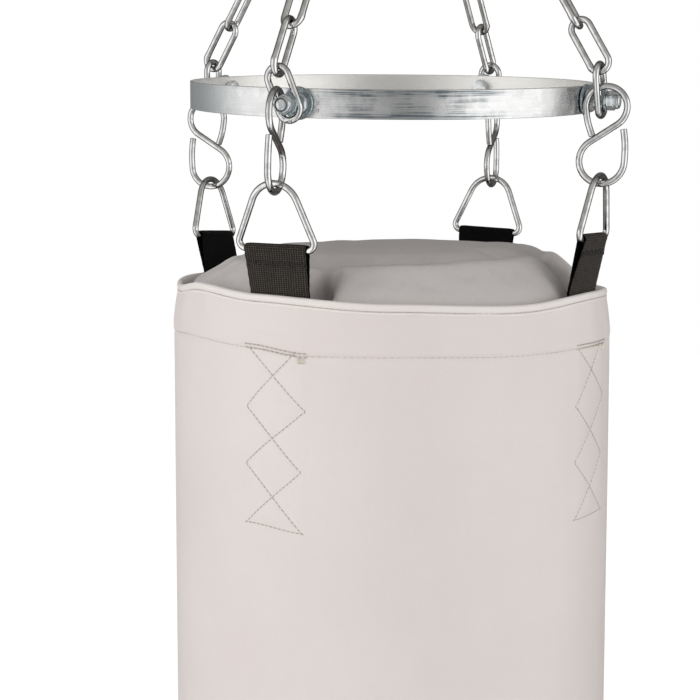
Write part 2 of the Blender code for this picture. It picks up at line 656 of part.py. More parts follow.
def build_bag(leather, lining, filling):
    """Shell with its leaning collar, binding, base, soft top cover and filling."""
    wall_top = RIM_HEIGHT - BINDING_WALL - GAP
    inner = BAG_RADIUS - SHELL_WALL
    turned("outer_shell", [
        (RIM_RADIUS - BINDING_WALL - GAP, wall_top),
        (RIM_RADIUS - BINDING_WALL - GAP, RIM_HEIGHT - BINDING_HEIGHT - GAP),
        (RIM_RADIUS + BINDING_WALL, RIM_HEIGHT - 2 * BINDING_HEIGHT),
        (BAG_RADIUS, HEM_HEIGHT),
        (BAG_RADIUS, BASE_HEIGHT + BASE_THICKNESS),
        (BAG_RADIUS - SHELL_WALL, BASE_HEIGHT + GAP),
        (BAG_RADIUS - SHELL_WALL * 2, BASE_HEIGHT + GAP),
        (inner, BASE_HEIGHT + BASE_THICKNESS + GAP),
        (inner, HEM_HEIGHT),
        (RIM_RADIUS - BINDING_WALL - GAP - SHELL_WALL, RIM_HEIGHT - 2 * BINDING_HEIGHT),
        (RIM_RADIUS - BINDING_WALL - GAP - SHELL_WALL, wall_top),
    ], leather, BAG_STEPS)
    outside, inside = RIM_RADIUS, RIM_RADIUS - 2 * (BINDING_WALL + GAP) - SHELL_WALL
    turned("rim_binding", [
        (outside - BINDING_WALL / 2, RIM_HEIGHT),
        (outside, RIM_HEIGHT - BINDING_WALL / 2),
        (outside, RIM_HEIGHT - BINDING_HEIGHT),
        (outside - BINDING_WALL, RIM_HEIGHT - BINDING_HEIGHT),
        (outside - BINDING_WALL, RIM_HEIGHT - BINDING_WALL),
        (inside + BINDING_WALL, RIM_HEIGHT - BINDING_WALL),
        (inside + BINDING_WALL, RIM_HEIGHT - BINDING_HEIGHT),
        (inside, RIM_HEIGHT - BINDING_HEIGHT),
        (inside, RIM_HEIGHT - BINDING_WALL / 2),
        (inside + BINDING_WALL / 2, RIM_HEIGHT),
    ], leather, BAG_STEPS)
    base_top = BASE_HEIGHT + BASE_THICKNESS
    add("base_panel", prism(inner - SHELL_WALL - GAP, BASE_HEIGHT, base_top, BAG_STEPS), leather)

    half = WEBBING_WIDTH / 2
    at_rim = sqrt((inside - GAP) ** 2 - half**2) - 2 * WEBBING_PLY - 4 * GAP
    at_shell = sqrt(inner**2 - half**2) - 2 * WEBBING_PLY - 4 * GAP
    floor = RIM_HEIGHT - COVER_DEPTH
    crown = RIM_HEIGHT + COVER_RISE
    turned("top_cover", [
        (0, crown),
        (at_rim * 0.45, crown - COVER_RISE * 0.06),
        (at_rim * 0.70, crown - COVER_RISE * 0.25),
        (at_rim * 0.88, crown - COVER_RISE * 0.58),
        (at_rim * 0.98, RIM_HEIGHT),
        (at_rim, RIM_HEIGHT - BINDING_HEIGHT * 2),
        (at_rim * 0.98, floor),
        (0, floor),
    ], lining, BAG_STEPS)
    strap_end = RIM_HEIGHT - STRAP_TAIL - WEBBING_WIDTH / 5
    turned("filling", [
        (0, floor - GAP),
        (at_shell * 0.96, floor - GAP),
        (at_shell, floor - GAP - WEBBING_WIDTH / 5),
        (at_shell, strap_end),
        (inner - GAP, strap_end - WEBBING_WIDTH / 5),
        (inner - GAP, base_top + GAP * 2 + SHELL_WALL),
        (inner - GAP - SHELL_WALL, base_top + GAP * 2),
        (0, base_top + GAP * 2),
    ], filling, BAG_STEPS)


def pivot(name, place, pieces):
    """An empty on a joint's axis, which carries the pieces that move about it."""
    made = bpy.data.objects.new(name, None)
    made.location = place
    made.empty_display_size = WIRE
    PART.objects.link(made)
    for piece in [o for o in PART.objects if o.type == "MESH"]:
        if piece.name.startswith(pieces):
            piece.parent = made
            piece.matrix_parent_inverse = Matrix.Translation(-made.location)
    return made


def build_pivots():
    """Swivel, master ring, chains with the spreader ring, hooks, and the bag with its straps."""
    swivel = ("swivel_bow", "swivel_upper_race", "swivel_ball_cage")
    pivot("swivel_axis", (0, 0, BALL_TOP), swivel)
    pivot("ring_axis", (0, 0, MASTER_TOP), ("master_ring",))
    rig = ("chain_", "end_link_", "spreader_", "ring_bolt_", "ring_washer_", "clamp_nut_",
           "link_washer_", "lock_nut_")
    pivot("chain_axis", (0, 0, MASTER_CENTER), rig)
    pivot("bag_axis", (0, 0, TRIANGLE_TOP),
          ("triangle_ring_", "strap_", "outer_", "rim_", "base_", "top_", "filling"))


def build():
    zinc = material("zinc_plated_steel", (0.62, 0.63, 0.64), 0.3, 1.0)
    steel = material("bearing_steel", (0.5, 0.5, 0.52), 0.2, 1.0)
    galvanised = material("galvanised_band", (0.72, 0.73, 0.74), 0.35, 1.0)
    leather = material("white_synthetic_leather", (0.78, 0.74, 0.72), 0.45)
    lining = material("grey_cover_cloth", (0.5, 0.47, 0.46), 0.6)
    webbing = material("black_webbing", (0.02, 0.02, 0.02), 0.8)
    filling = material("textile_filling", (0.45, 0.43, 0.42), 0.9)
    build_swivel(zinc, steel)
    build_master_ring(zinc)
    build_chains(zinc)
    build_spreader(galvanised)
    build_bolts(zinc)
    build_hooks(zinc)
    build_triangles(zinc)
    build_straps(webbing)
    build_bag(leather, lining, filling)
    build_pivots()


for old in list(bpy.data.objects):
    bpy.data.objects.remove(old)
PART = collection("punching_bag")
CUTTERS = collection("punching_bag_cutters")
build()
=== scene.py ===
from math import acos, asin, atan2, ceil, cos, exp, hypot, pi, radians, sin, sqrt

import bmesh
import bpy
from mathutils import Matrix, Vector, noise


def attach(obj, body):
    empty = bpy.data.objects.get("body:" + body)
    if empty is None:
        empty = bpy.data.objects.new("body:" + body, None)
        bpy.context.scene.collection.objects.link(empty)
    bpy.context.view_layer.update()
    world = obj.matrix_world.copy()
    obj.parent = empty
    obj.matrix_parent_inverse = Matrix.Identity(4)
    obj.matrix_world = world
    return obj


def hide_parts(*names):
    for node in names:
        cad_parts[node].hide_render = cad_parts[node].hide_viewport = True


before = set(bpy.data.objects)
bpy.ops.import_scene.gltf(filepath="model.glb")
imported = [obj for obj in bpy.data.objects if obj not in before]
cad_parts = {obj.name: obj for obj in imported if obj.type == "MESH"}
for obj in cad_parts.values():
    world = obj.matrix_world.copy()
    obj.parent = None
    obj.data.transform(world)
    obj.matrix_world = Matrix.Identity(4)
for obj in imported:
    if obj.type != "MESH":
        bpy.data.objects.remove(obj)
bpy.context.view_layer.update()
up = Vector((0, 0, 1))
quarter = pi / 2

# where the parts of the bag hang, in metres, the same as in the frame
hang = {
    "masterTop": -0.074,
    "masterRadius": 0.025,
    "masterWire": 0.008,
    "bandHeight": -0.4354,
    "bandRadius": 0.160,
    "bandPitch": radians(4.0),
    "bandRoll": radians(0.4),
    "rim": -0.5881,
    "hem": -0.6236,
    "base": -1.7881,
    "bagRadius": 0.1747,
    "rimRadius": 0.1715,
    "strapAzimuth": radians(29.3),
    "strapRadius": 0.1725,
    "gap": 0.0003,
    "wire": 0.005,
}
stationNames = ("front_left", "back_left", "back_right", "front_right")
wedged = ("front_left", "front_right")

camera = {
    "place": (-0.0027, -1.4243, -0.4712),
    "turn": (90 - 6.086, 0, 1.237),
    "lens": 91.26,
    "shiftY": -0.03,
}


def makeCamera(facts):
    data = bpy.data.cameras.new("photoCamera")
    data.lens = facts["lens"]
    data.sensor_width = 36
    data.shift_y = facts["shiftY"]
    data.clip_end = 50
    seen = bpy.data.objects.new("photoCamera", data)
    seen.location = facts["place"]
    seen.rotation_euler = [radians(angle) for angle in facts["turn"]]
    bpy.context.scene.collection.objects.link(seen)
    bpy.context.scene.camera = seen


makeCamera(camera)
print("camera placed")


# mesh helpers
def newObject(name, mesh):
    made = bpy.data.objects.new(name, mesh)
    bpy.context.scene.collection.objects.link(made)
    return made


def addPiece(name, mesh, body, material, slot, *nodes, sharp=40):
    made = newObject(name, mesh)
    if material:
        mesh.materials.clear()
        mesh.materials.append(materials[material])
    mesh.shade_smooth()
    if sharp:
        mesh.set_sharp_from_angle(angle=radians(sharp))
    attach(made, body)
    if nodes:
        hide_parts(*nodes)
    return made


def evaluated(source):
    bpy.context.view_layer.update()
    seen = source.evaluated_get(bpy.context.evaluated_depsgraph_get())
    return bpy.data.meshes.new_from_object(seen)


def arc(center, radius, start, end, across, lift, step=radians(9)):
    count = max(2, ceil(abs(end - start) / step))
    angles = [start + (end - start) * i / count for i in range(count + 1)]
    return [center + across * (radius * cos(a)) + lift * (radius * sin(a)) for a in angles]


def tidyPath(points, closed):
    kept = [points[0]]
    for point in points[1:]:
        if (point - kept[-1]).length > 1e-5:
            kept.append(point)
    if closed and (kept[0] - kept[-1]).length < 1e-5:
        kept.pop()
    return kept


def fillStraights(points, closed, longest=0.004):
    full = []
    count = len(points)
    for i in range(count if closed else count - 1):
        here, after = points[i], points[(i + 1) % count]
        pieces = max(1, ceil((after - here).length / longest))
        full += [here.lerp(after, k / pieces) for k in range(pieces)]
    return full if closed else full + [points[-1]]


def meshFrom(name, grid, turnOut=True):
    if turnOut:
        bmesh.ops.recalc_face_normals(grid, faces=grid.faces)
    mesh = bpy.data.meshes.new(name)
    grid.to_mesh(mesh)
    grid.free()
    return mesh


# faces between rows of points, each row a closed ring or one point at a pole
def loft(grid, rows, closed):
    faces = []
    for i in range(len(rows) if closed else len(rows) - 1):
        near, far = rows[i], rows[(i + 1) % len(rows)]
        for k in range(max(len(near), len(far))):
            after = k + 1
            corners = (near[k % len(near)], near[after % len(near)], far[after % len(far)], far[k % len(far)])
            corners = list(dict.fromkeys(corners))
            if len(corners) > 2:
                faces.append((i, k, grid.faces.new(corners)))
    return faces


# an open wire's end is eased: the last ring is drawn out and the cap is smaller, as shares of the radius
wireTip = {"cap": 0.86, "out": 0.16}


# a round wire along a path: rings carried along without twist, u along and v round, in metres
def wireMesh(name, points, radius, closed=False, sides=16, swell=None):
    points = fillStraights(tidyPath([Vector(p) for p in points], closed), closed)
    count = len(points)
    tangents = []
    for i in range(count):
        before = points[i - 1] if closed or i else points[i]
        after = points[(i + 1) % count] if closed or i < count - 1 else points[i]
        tangents.append((after - before).normalized())
    normal = tangents[0].orthogonal().normalized()
    normals = [normal]
    for i in range(1, count):
        turn = tangents[i - 1].rotation_difference(tangents[i])
        normal = (turn @ normal).normalized()
        normals.append(normal)
    slip = 0.0
    if closed:
        turn = tangents[-1].rotation_difference(tangents[0])
        last = (turn @ normals[-1]).normalized()
        slip = atan2(last.cross(normals[0]).dot(tangents[0]), last.dot(normals[0]))
    lengths = [0.0]
    for i in range(1, count + (1 if closed else 0)):
        lengths.append(lengths[-1] + (points[i % count] - points[i - 1]).length)
    whole = lengths[-1]

    rings = []
    for i in range(count):
        along = lengths[i]
        thick = radius * (swell(along / whole) if swell else 1)
        side = tangents[i].cross(normals[i])
        spin = slip * i / count
        rings.append([
            points[i] + normals[i] * (thick * cos(spin + 2 * pi * k / sides))
            + side * (thick * sin(spin + 2 * pi * k / sides)) for k in range(sides)
        ])
    spans = lengths[:]
    if not closed:
        for end, inner in ((0, tangents[0]), (-1, -tangents[-1])):
            trimmed = [points[end] + (p - points[end]) * wireTip["cap"] for p in rings[end]]
            rings[end] = [p + inner * (radius * wireTip["out"]) for p in rings[end]]
            if end == 0:
                rings.insert(0, trimmed)
                spans.insert(0, spans[0])
            else:
                rings.append(trimmed)
                spans.append(spans[-1])

    grid = bmesh.new()
    sheet = grid.loops.layers.uv.new("UVMap")
    made = [[grid.verts.new(p) for p in ring] for ring in rings]
    girth = 2 * pi * radius
    for i, k, face in loft(grid, made, closed):
        for loop, (row, col) in zip(face.loops, ((i, k), (i, k + 1), (i + 1, k + 1), (i + 1, k))):
            loop[sheet].uv = (spans[row], girth * col / sides)
    if not closed:
        grid.faces.new(list(reversed(made[0])))
        grid.faces.new(made[-1])
    return meshFrom(name, grid)


# a (radius, height) profile turned about Z; it is closed unless its ends lie on the axis
def turnedMesh(name, profile, steps, closed=True):
    grid = bmesh.new()
    sheet = grid.loops.layers.uv.new("UVMap")
    rows = []
    for radius, height in profile:
        turns = [2 * pi * k / steps for k in range(1 if radius < 1e-7 else steps)]
        rows.append([grid.verts.new((radius * cos(turn), radius * sin(turn), height)) for turn in turns])
    for _, k, face in loft(grid, rows, closed):
        for loop in face.loops:
            x, y, z = loop.vert.co
            loop[sheet].uv = (hypot(x, y) + z, k / steps)
    return meshFrom(name, grid)


def prismMesh(name, radius, low, high, sides, turn=0.0):
    grid = bmesh.new()
    bmesh.ops.create_cone(
        grid, cap_ends=True, segments=sides, radius1=radius, radius2=radius, depth=high - low,
        matrix=Matrix.Translation((0, 0, (low + high) / 2)) @ Matrix.Rotation(turn, 4, "Z"),
    )
    return meshFrom(name, grid, False)


def combine(name, base, tools):
    body = newObject(name, base)
    helpers = []
    for tool, operation in tools:
        cutter = newObject(name + "Tool", tool)
        helpers.append(cutter)
        change = body.modifiers.new("cut", "BOOLEAN")
        change.operation = operation
        change.object = cutter
    mesh = evaluated(body)
    for old in helpers + [body]:
        bpy.data.objects.remove(old)
    mesh.name = name
    return mesh


def joinMeshes(name, meshes):
    grid = bmesh.new()
    for mesh in meshes:
        grid.from_mesh(mesh)
    return meshFrom(name, grid, False)


# stations round the bag: out from the axis, sideways, and up
def outward(azimuth):
    return Vector((-sin(azimuth), -cos(azimuth), 0))


def wrapped(angle):
    return (angle + pi) % (2 * pi) - pi


def frameOf(out, side, lift, place):
    turn = Matrix((out, side, lift)).transposed().to_4x4()
    return Matrix.Translation(place) @ turn


def station(azimuth, radius=0.0, height=0.0):
    out = outward(azimuth)
    side = Vector((cos(azimuth), -sin(azimuth), 0))
    return frameOf(out, side, up, out * radius + up * height)


# node helpers: an input takes a socket or a plain value
def setInputs(tree, node, values):
    for key, value in values.items():
        if isinstance(value, bpy.types.NodeSocket):
            tree.links.new(value, node.inputs[key])
        else:
            node.inputs[key].default_value = value


def addNode(tree, kind, inputs=None, **settings):
    node = tree.nodes.new(kind)
    for key, value in settings.items():
        setattr(node, key, value)
    setInputs(tree, node, inputs or {})
    return node


# a tree with named inputs (label, kind, value) and outputs (label, kind)
def newTree(family, name, inputs, outputs):
    tree = bpy.data.node_groups.new(name, family + "NodeTree")
    for label, kind, value in inputs:
        made = tree.interface.new_socket(label, in_out="INPUT", socket_type="NodeSocket" + kind)
        if value is not None:
            made.default_value = value
    for label, kind in outputs:
        tree.interface.new_socket(label, in_out="OUTPUT", socket_type="NodeSocket" + kind)
    return tree, tree.nodes.new("NodeGroupInput").outputs, tree.nodes.new("NodeGroupOutput")


def maths(tree, operation, first, second=0.0, clamp=False):
    node = addNode(tree, "ShaderNodeMath", {0: first, 1: second}, operation=operation, use_clamp=clamp)
    return node.outputs[0]


def times(tree, first, second, clamp=False):
    return maths(tree, "MULTIPLY", first, second, clamp)


def plus(tree, first, second):
    return maths(tree, "ADD", first, second)


def vectorMaths(tree, operation, first, second=(0, 0, 0)):
    node = addNode(tree, "ShaderNodeVectorMath", {0: first, 1: second}, operation=operation)
    return node.outputs


def smoothRange(tree, value, low, high, start=0.0, end=1.0):
    node = addNode(tree, "ShaderNodeMapRange", {
        "Value": value, "From Min": low, "From Max": high, "To Min": start, "To Max": end,
    }, interpolation_type="SMOOTHSTEP")
    return node.outputs["Result"]


def mixValue(tree, factor, first, second):
    node = addNode(tree, "ShaderNodeMapRange", {"Value": factor, "To Min": first, "To Max": second})
    return node.outputs["Result"]


def mixColor(tree, factor, first, second):
    ends = [end if isinstance(end, bpy.types.NodeSocket) else (*end, 1) for end in (first, second)]
    node = addNode(tree, "ShaderNodeMix", {0: factor, 6: ends[0], 7: ends[1]}, data_type="RGBA")
    return node.outputs[2]


def cloud(tree, vector, scale, detail=2.0, roughness=0.5):
    node = addNode(tree, "ShaderNodeTexNoise", {
        "Vector": vector, "Scale": scale, "Detail": detail, "Roughness": roughness})
    return node.outputs["Fac"]


def bump(tree, height, strength, distance):
    node = addNode(tree, "ShaderNodeBump", {"Height": height, "Strength": strength, "Distance": distance})
    return node.outputs["Normal"]


# effects as node groups; all but the drawn wire serve several materials
def patchesGroup():
    group, given, end = newTree("Shader", "patches", (
        ("Vector", "Vector", None), ("Scale", "Float", 20.0), ("Low", "Float", 0.4), ("High", "Float", 0.6),
    ), (("Mask", "Float"),))
    spread = cloud(group, given["Vector"], given["Scale"], 4.0, 0.55)
    setInputs(group, end, {"Mask": smoothRange(group, spread, given["Low"], given["High"])})
    return group


def grainGroup():
    group, given, end = newTree("Shader", "leatherGrain", (
        ("Vector", "Vector", None), ("Scale", "Float", 900.0)), (("Height", "Float"), ("Crease", "Float")))
    bent = addNode(group, "ShaderNodeTexNoise", {"Vector": given["Vector"], "Scale": 120.0, "Detail": 1.0})
    shift = vectorMaths(group, "MULTIPLY", bent.outputs["Color"], (0.0009, 0.0009, 0.0009))
    moved = vectorMaths(group, "ADD", given["Vector"], shift[0])
    cells = addNode(group, "ShaderNodeTexVoronoi", {"Vector": moved[0], "Scale": given["Scale"]},
                    feature="DISTANCE_TO_EDGE")
    # crease is 0 in the grain's creases and 1 on its tops; the materials use it for the height and to paint
    # shade into the creases
    crease = smoothRange(group, cells.outputs["Distance"], 0.0, 0.16)
    fine = cloud(group, given["Vector"], 2600.0)
    setInputs(group, end, {"Height": plus(group, times(group, fine, 0.25), crease), "Crease": crease})
    return group


def drawnWireGroup():
    group, given, end = newTree("Shader", "drawnWire", (
        ("UV", "Vector", None), ("Along", "Float", 40.0), ("Round", "Float", 2600.0)), (("Lines", "Float"),))
    parts = addNode(group, "ShaderNodeSeparateXYZ", {0: given["UV"]}).outputs
    place = addNode(group, "ShaderNodeCombineXYZ", {
        0: times(group, parts[0], given["Along"]), 1: times(group, parts[1], given["Round"])})
    setInputs(group, end, {"Lines": cloud(group, place.outputs[0], 1.0, 3.0)})
    return group


def weaveGroup():
    group, given, end = newTree("Shader", "webbingWeave", (
        ("UV", "Vector", None), ("Ribs", "Float", 500.0), ("Rows", "Float", 640.0),
    ), (("Height", "Float"), ("Fleck", "Float")))
    parts = addNode(group, "ShaderNodeSeparateXYZ", {0: given["UV"]}).outputs
    counts = times(group, parts[1], given["Ribs"]), times(group, parts[0], given["Rows"])
    ribWave, rowWave = (
        maths(group, "SINE", times(group, maths(group, "FRACT", count), pi)) for count in counts)
    height = times(group, maths(group, "POWER", ribWave, 0.6), maths(group, "POWER", rowWave, 0.5))
    betweenRibs = maths(group, "POWER", maths(group, "SUBTRACT", 1.0, ribWave), 4.5)
    betweenRows = maths(group, "POWER", maths(group, "SUBTRACT", 1.0, rowWave), 6.0)
    spotty = times(group, cloud(group, given["UV"], 900.0), 1.6)
    fleck = times(group, maths(group, "MAXIMUM", betweenRibs, betweenRows), spotty, clamp=True)
    setInputs(group, end, {"Height": height, "Fleck": fleck})
    return group


groups = {"patches": patchesGroup(), "grain": grainGroup(), "drawn": drawnWireGroup(), "weave": weaveGroup()}


def useGroup(tree, label, inputs):
    return addNode(tree, "ShaderNodeGroup", inputs, node_tree=groups[label]).outputs


def patches(tree, vector, scale, low, high):
    return useGroup(tree, "patches", {"Vector": vector, "Scale": scale, "Low": low, "High": high})["Mask"]


def newMaterial(name):
    made = bpy.data.materials.new(name)
    made.use_nodes = True
    tree = made.node_tree
    return made, tree, tree.nodes["Principled BSDF"], addNode(tree, "ShaderNodeTexCoord").outputs


# bright zinc on bent wire: drawing lines along the wire, duller patches, a few dark specks, and painted shade
# darkening the wire towards its grazing edges
def wireZinc(name, facts):
    made, tree, shader, spot = newMaterial(name)
    lines = useGroup(tree, "drawn", {"UV": spot["UV"], "Along": 60.0, "Round": 3200.0})["Lines"]
    dull = patches(tree, spot["Object"], scale=160.0, low=0.42, high=0.62)
    speck = patches(tree, spot["Object"], scale=900.0, low=0.66, high=0.72)
    # painted shade: the wire's grazing edges are darkened towards the edge colour
    facing = addNode(tree, "ShaderNodeLayerWeight", {"Blend": 0.5}).outputs["Facing"]
    edge = smoothRange(tree, facing, 0.12, 0.5, end=0.85)
    color = mixColor(tree, dull, facts["bright"], facts["dull"])
    color = mixColor(tree, times(tree, speck, 0.5), color, facts["speck"])
    rough = mixValue(tree, dull, facts["rough"], facts["rough"] + 0.05)
    setInputs(tree, shader, {
        "Base Color": mixColor(tree, edge, color, facts["edge"]), "Metallic": 1.0,
        "Roughness": plus(tree, rough, times(tree, lines, 0.03)),
        "Normal": bump(tree, lines, strength=0.09, distance=0.00004)})
    return made


# turned and pressed zinc hardware: fine turning rings and a faint passivation tint
def hardwareZinc(name, facts):
    made, tree, shader, spot = newMaterial(name)
    dull = patches(tree, spot["Object"], scale=220.0, low=0.4, high=0.62)
    tinge = patches(tree, spot["Object"], scale=90.0, low=0.45, high=0.7)
    fine = cloud(tree, spot["Object"], 2200.0, 3.0)
    color = mixColor(tree, dull, facts["bright"], facts["dull"])
    rough = mixValue(tree, dull, facts["rough"], facts["rough"] + 0.12)
    setInputs(tree, shader, {
        "Base Color": mixColor(tree, times(tree, tinge, 0.45), color, facts["tinge"]), "Metallic": 1.0,
        "Roughness": plus(tree, rough, times(tree, fine, 0.06)),
        "Normal": bump(tree, fine, strength=0.2, distance=0.00005)})
    return made


# hot-dip galvanised flat band: spangle cells, streaks round the ring, pressed weld marks
def galvanisedBand(name, facts):
    made, tree, shader, spot = newMaterial(name)
    parts = addNode(tree, "ShaderNodeSeparateXYZ", {0: spot["Object"]}).outputs
    lift = vectorMaths(tree, "DOT_PRODUCT", spot["Object"], facts["axis"])["Value"]
    flat = addNode(tree, "ShaderNodeCombineXYZ", {0: parts[0], 1: parts[1]}).outputs[0]
    place = addNode(tree, "ShaderNodeCombineXYZ", {
        0: times(tree, parts[0], 19.0), 1: times(tree, parts[1], 19.0), 2: times(tree, lift, 900.0)})
    streak = cloud(tree, place.outputs[0], 1.0, 4.0)
    spangle = addNode(tree, "ShaderNodeTexVoronoi", {"Vector": spot["Object"], "Scale": 150.0})
    cellShade = addNode(tree, "ShaderNodeSeparateColor", {0: spangle.outputs["Color"]}).outputs[0]
    mottle = patches(tree, spot["Object"], scale=48.0, low=0.38, high=0.64)

    # darker spots towards the band's edges and along the streaks, most of all on the front: partly real
    # mottling, partly a painted dark reflection on the front
    fromMiddle = maths(tree, "ABSOLUTE", maths(tree, "SUBTRACT", lift, facts["middle"]))
    rims = smoothRange(tree, fromMiddle, *facts["rimFade"])
    lines = smoothRange(tree, streak, 0.42, 0.62)
    facingPaintedReflection = vectorMaths(tree, "DOT_PRODUCT", flat, facts["paintedReflectionFacing"])["Value"]
    spread = smoothRange(tree, facingPaintedReflection, *facts["paintedReflectionFade"], start=0.1)
    streaked = plus(tree, times(tree, lines, 0.72), 0.16)
    blotch = times(tree, times(tree, plus(tree, mottle, rims), spread), streaked)
    blend = maths(tree, "ADD", blotch, times(tree, cellShade, 0.15), clamp=True)
    leftEnd = smoothRange(tree, parts[0], *facts["leftFade"], end=0.6)
    # the inner face is painted near white and made rougher: a painted reflection, brighter than the outer
    # face of the same metal
    inside = maths(tree, "LESS_THAN", vectorMaths(tree, "LENGTH", flat)["Value"], facts["paintedLightInnerRadius"])
    weld = None
    for height in facts["welds"]:
        center = vectorMaths(tree, "DISTANCE", spot["Object"], weldPlace(height))["Value"]
        near = smoothRange(tree, center, facts["weldSize"], facts["weldSize"] * 0.6)
        weld = near if weld is None else maths(tree, "MAXIMUM", weld, near)

    color = mixColor(tree, blend, facts["bright"], facts["dull"])
    color = mixColor(tree, leftEnd, color, facts["cool"])
    color = mixColor(tree, inside, color, facts["inner"])
    rough = mixValue(tree, blend, facts["rough"], facts["rough"] + 0.16)
    height = plus(tree, times(tree, streak, 0.6), times(tree, mottle, 0.8))
    height = maths(tree, "SUBTRACT", height, times(tree, weld, 1.2))
    setInputs(tree, shader, {
        "Base Color": mixColor(tree, times(tree, weld, 0.25), color, facts["weldTint"]), "Metallic": 1.0,
        "Roughness": plus(tree, rough, plus(tree, times(tree, streak, 0.1), times(tree, inside, 0.2))),
        "Normal": bump(tree, height, strength=0.28, distance=0.0003)})
    return made


# soft coated leather: pebble grain with painted shade in its creases, broad shade drift, faint handling
# marks; on the cover a side panel painted lighter, painted light
def coatedLeather(name, facts):
    made, tree, shader, spot = newMaterial(name)
    grain = useGroup(tree, "grain", {"Vector": spot["Object"], "Scale": facts["grain"]})
    drift = patches(tree, spot["Object"], scale=7.0, low=0.3, high=0.7)
    marks = patches(tree, spot["Object"], scale=60.0, low=0.5, high=0.75)
    color = mixColor(tree, drift, facts["light"], facts["warm"])
    # past the given reach the cover turns to its lighter side colour: painted light, the side panel lit more
    # than the grazing top
    if "panel" in facts:
        flat = vectorMaths(tree, "MULTIPLY", spot["Object"], (1, 1, 0))[0]
        reach = vectorMaths(tree, "LENGTH", flat)["Value"]
        side = smoothRange(tree, reach, facts["panelFrom"], facts["panelFrom"] + 0.004)
        color = mixColor(tree, side, color, facts["panel"])
    # painted shade: the grain's creases are darkened towards the crease colour
    creaseShade = times(tree, maths(tree, "SUBTRACT", 1.0, grain["Crease"]), facts["creaseShadeDepth"])
    rough = mixValue(tree, marks, facts["rough"], facts["rough"] + 0.09)
    setInputs(tree, shader, {
        "Base Color": mixColor(tree, creaseShade, color, facts["crease"]),
        "Roughness": plus(tree, rough, times(tree, grain["Crease"], -0.05)),
        "Specular IOR Level": facts["gloss"],
        "Normal": bump(tree, grain["Height"], facts["bump"], distance=0.00012)})
    return made


def webbingCloth(name, facts):
    made, tree, shader, spot = newMaterial(name)
    weave = useGroup(tree, "weave", {"UV": spot["UV"], "Ribs": facts["ribs"], "Rows": facts["rows"]})
    dust = patches(tree, spot["Object"], scale=120.0, low=0.35, high=0.75)
    color = mixColor(tree, dust, facts["dark"], facts["dusty"])
    setInputs(tree, shader, {
        "Base Color": mixColor(tree, weave["Fleck"], color, facts["fleck"]),
        "Roughness": mixValue(tree, weave["Fleck"], 0.62, 0.85),
        "Sheen Weight": 0.02, "Specular IOR Level": facts["gloss"],
        "Normal": bump(tree, weave["Height"], strength=0.6, distance=0.0003)})
    return made


def threadFibre(name, facts):
    made, tree, shader, spot = newMaterial(name)
    twist = addNode(tree, "ShaderNodeTexWave", {
        "Vector": spot["Object"], "Scale": 700.0, "Distortion": 2.0, "Detail": 1.0,
    }, bands_direction="DIAGONAL").outputs["Fac"]
    fade = patches(tree, spot["Object"], scale=300.0, low=0.35, high=0.65)
    setInputs(tree, shader, {
        "Base Color": mixColor(tree, fade, facts["thread"], facts["worn"]),
        "Roughness": mixValue(tree, twist, 0.5, 0.75),
        "Normal": bump(tree, twist, strength=0.5, distance=0.0001)})
    return made


# near-black insert in the lock nut's collar: its colour partly paints the shade in the nut's recessed mouth
def nylonInsert(name, facts):
    made, tree, shader, spot = newMaterial(name)
    scuffs = patches(tree, spot["Object"], scale=400.0, low=0.35, high=0.7)
    setInputs(tree, shader, {
        "Base Color": mixColor(tree, scuffs, facts["clean"], facts["scuffed"]),
        "Roughness": mixValue(tree, scuffs, 0.3, 0.45)})
    return made


bandFrame = (
    Matrix.Translation((0, 0, hang["bandHeight"])) @ Matrix.Rotation(hang["bandPitch"], 4, "X")
    @ Matrix.Rotation(hang["bandRoll"], 4, "Y")
)


# the ring's three spot welds lie one above the other
weldAzimuth = radians(19.6)


def weldPlace(lift):
    return bandFrame @ station(weldAzimuth, hang["bandRadius"], lift).translation


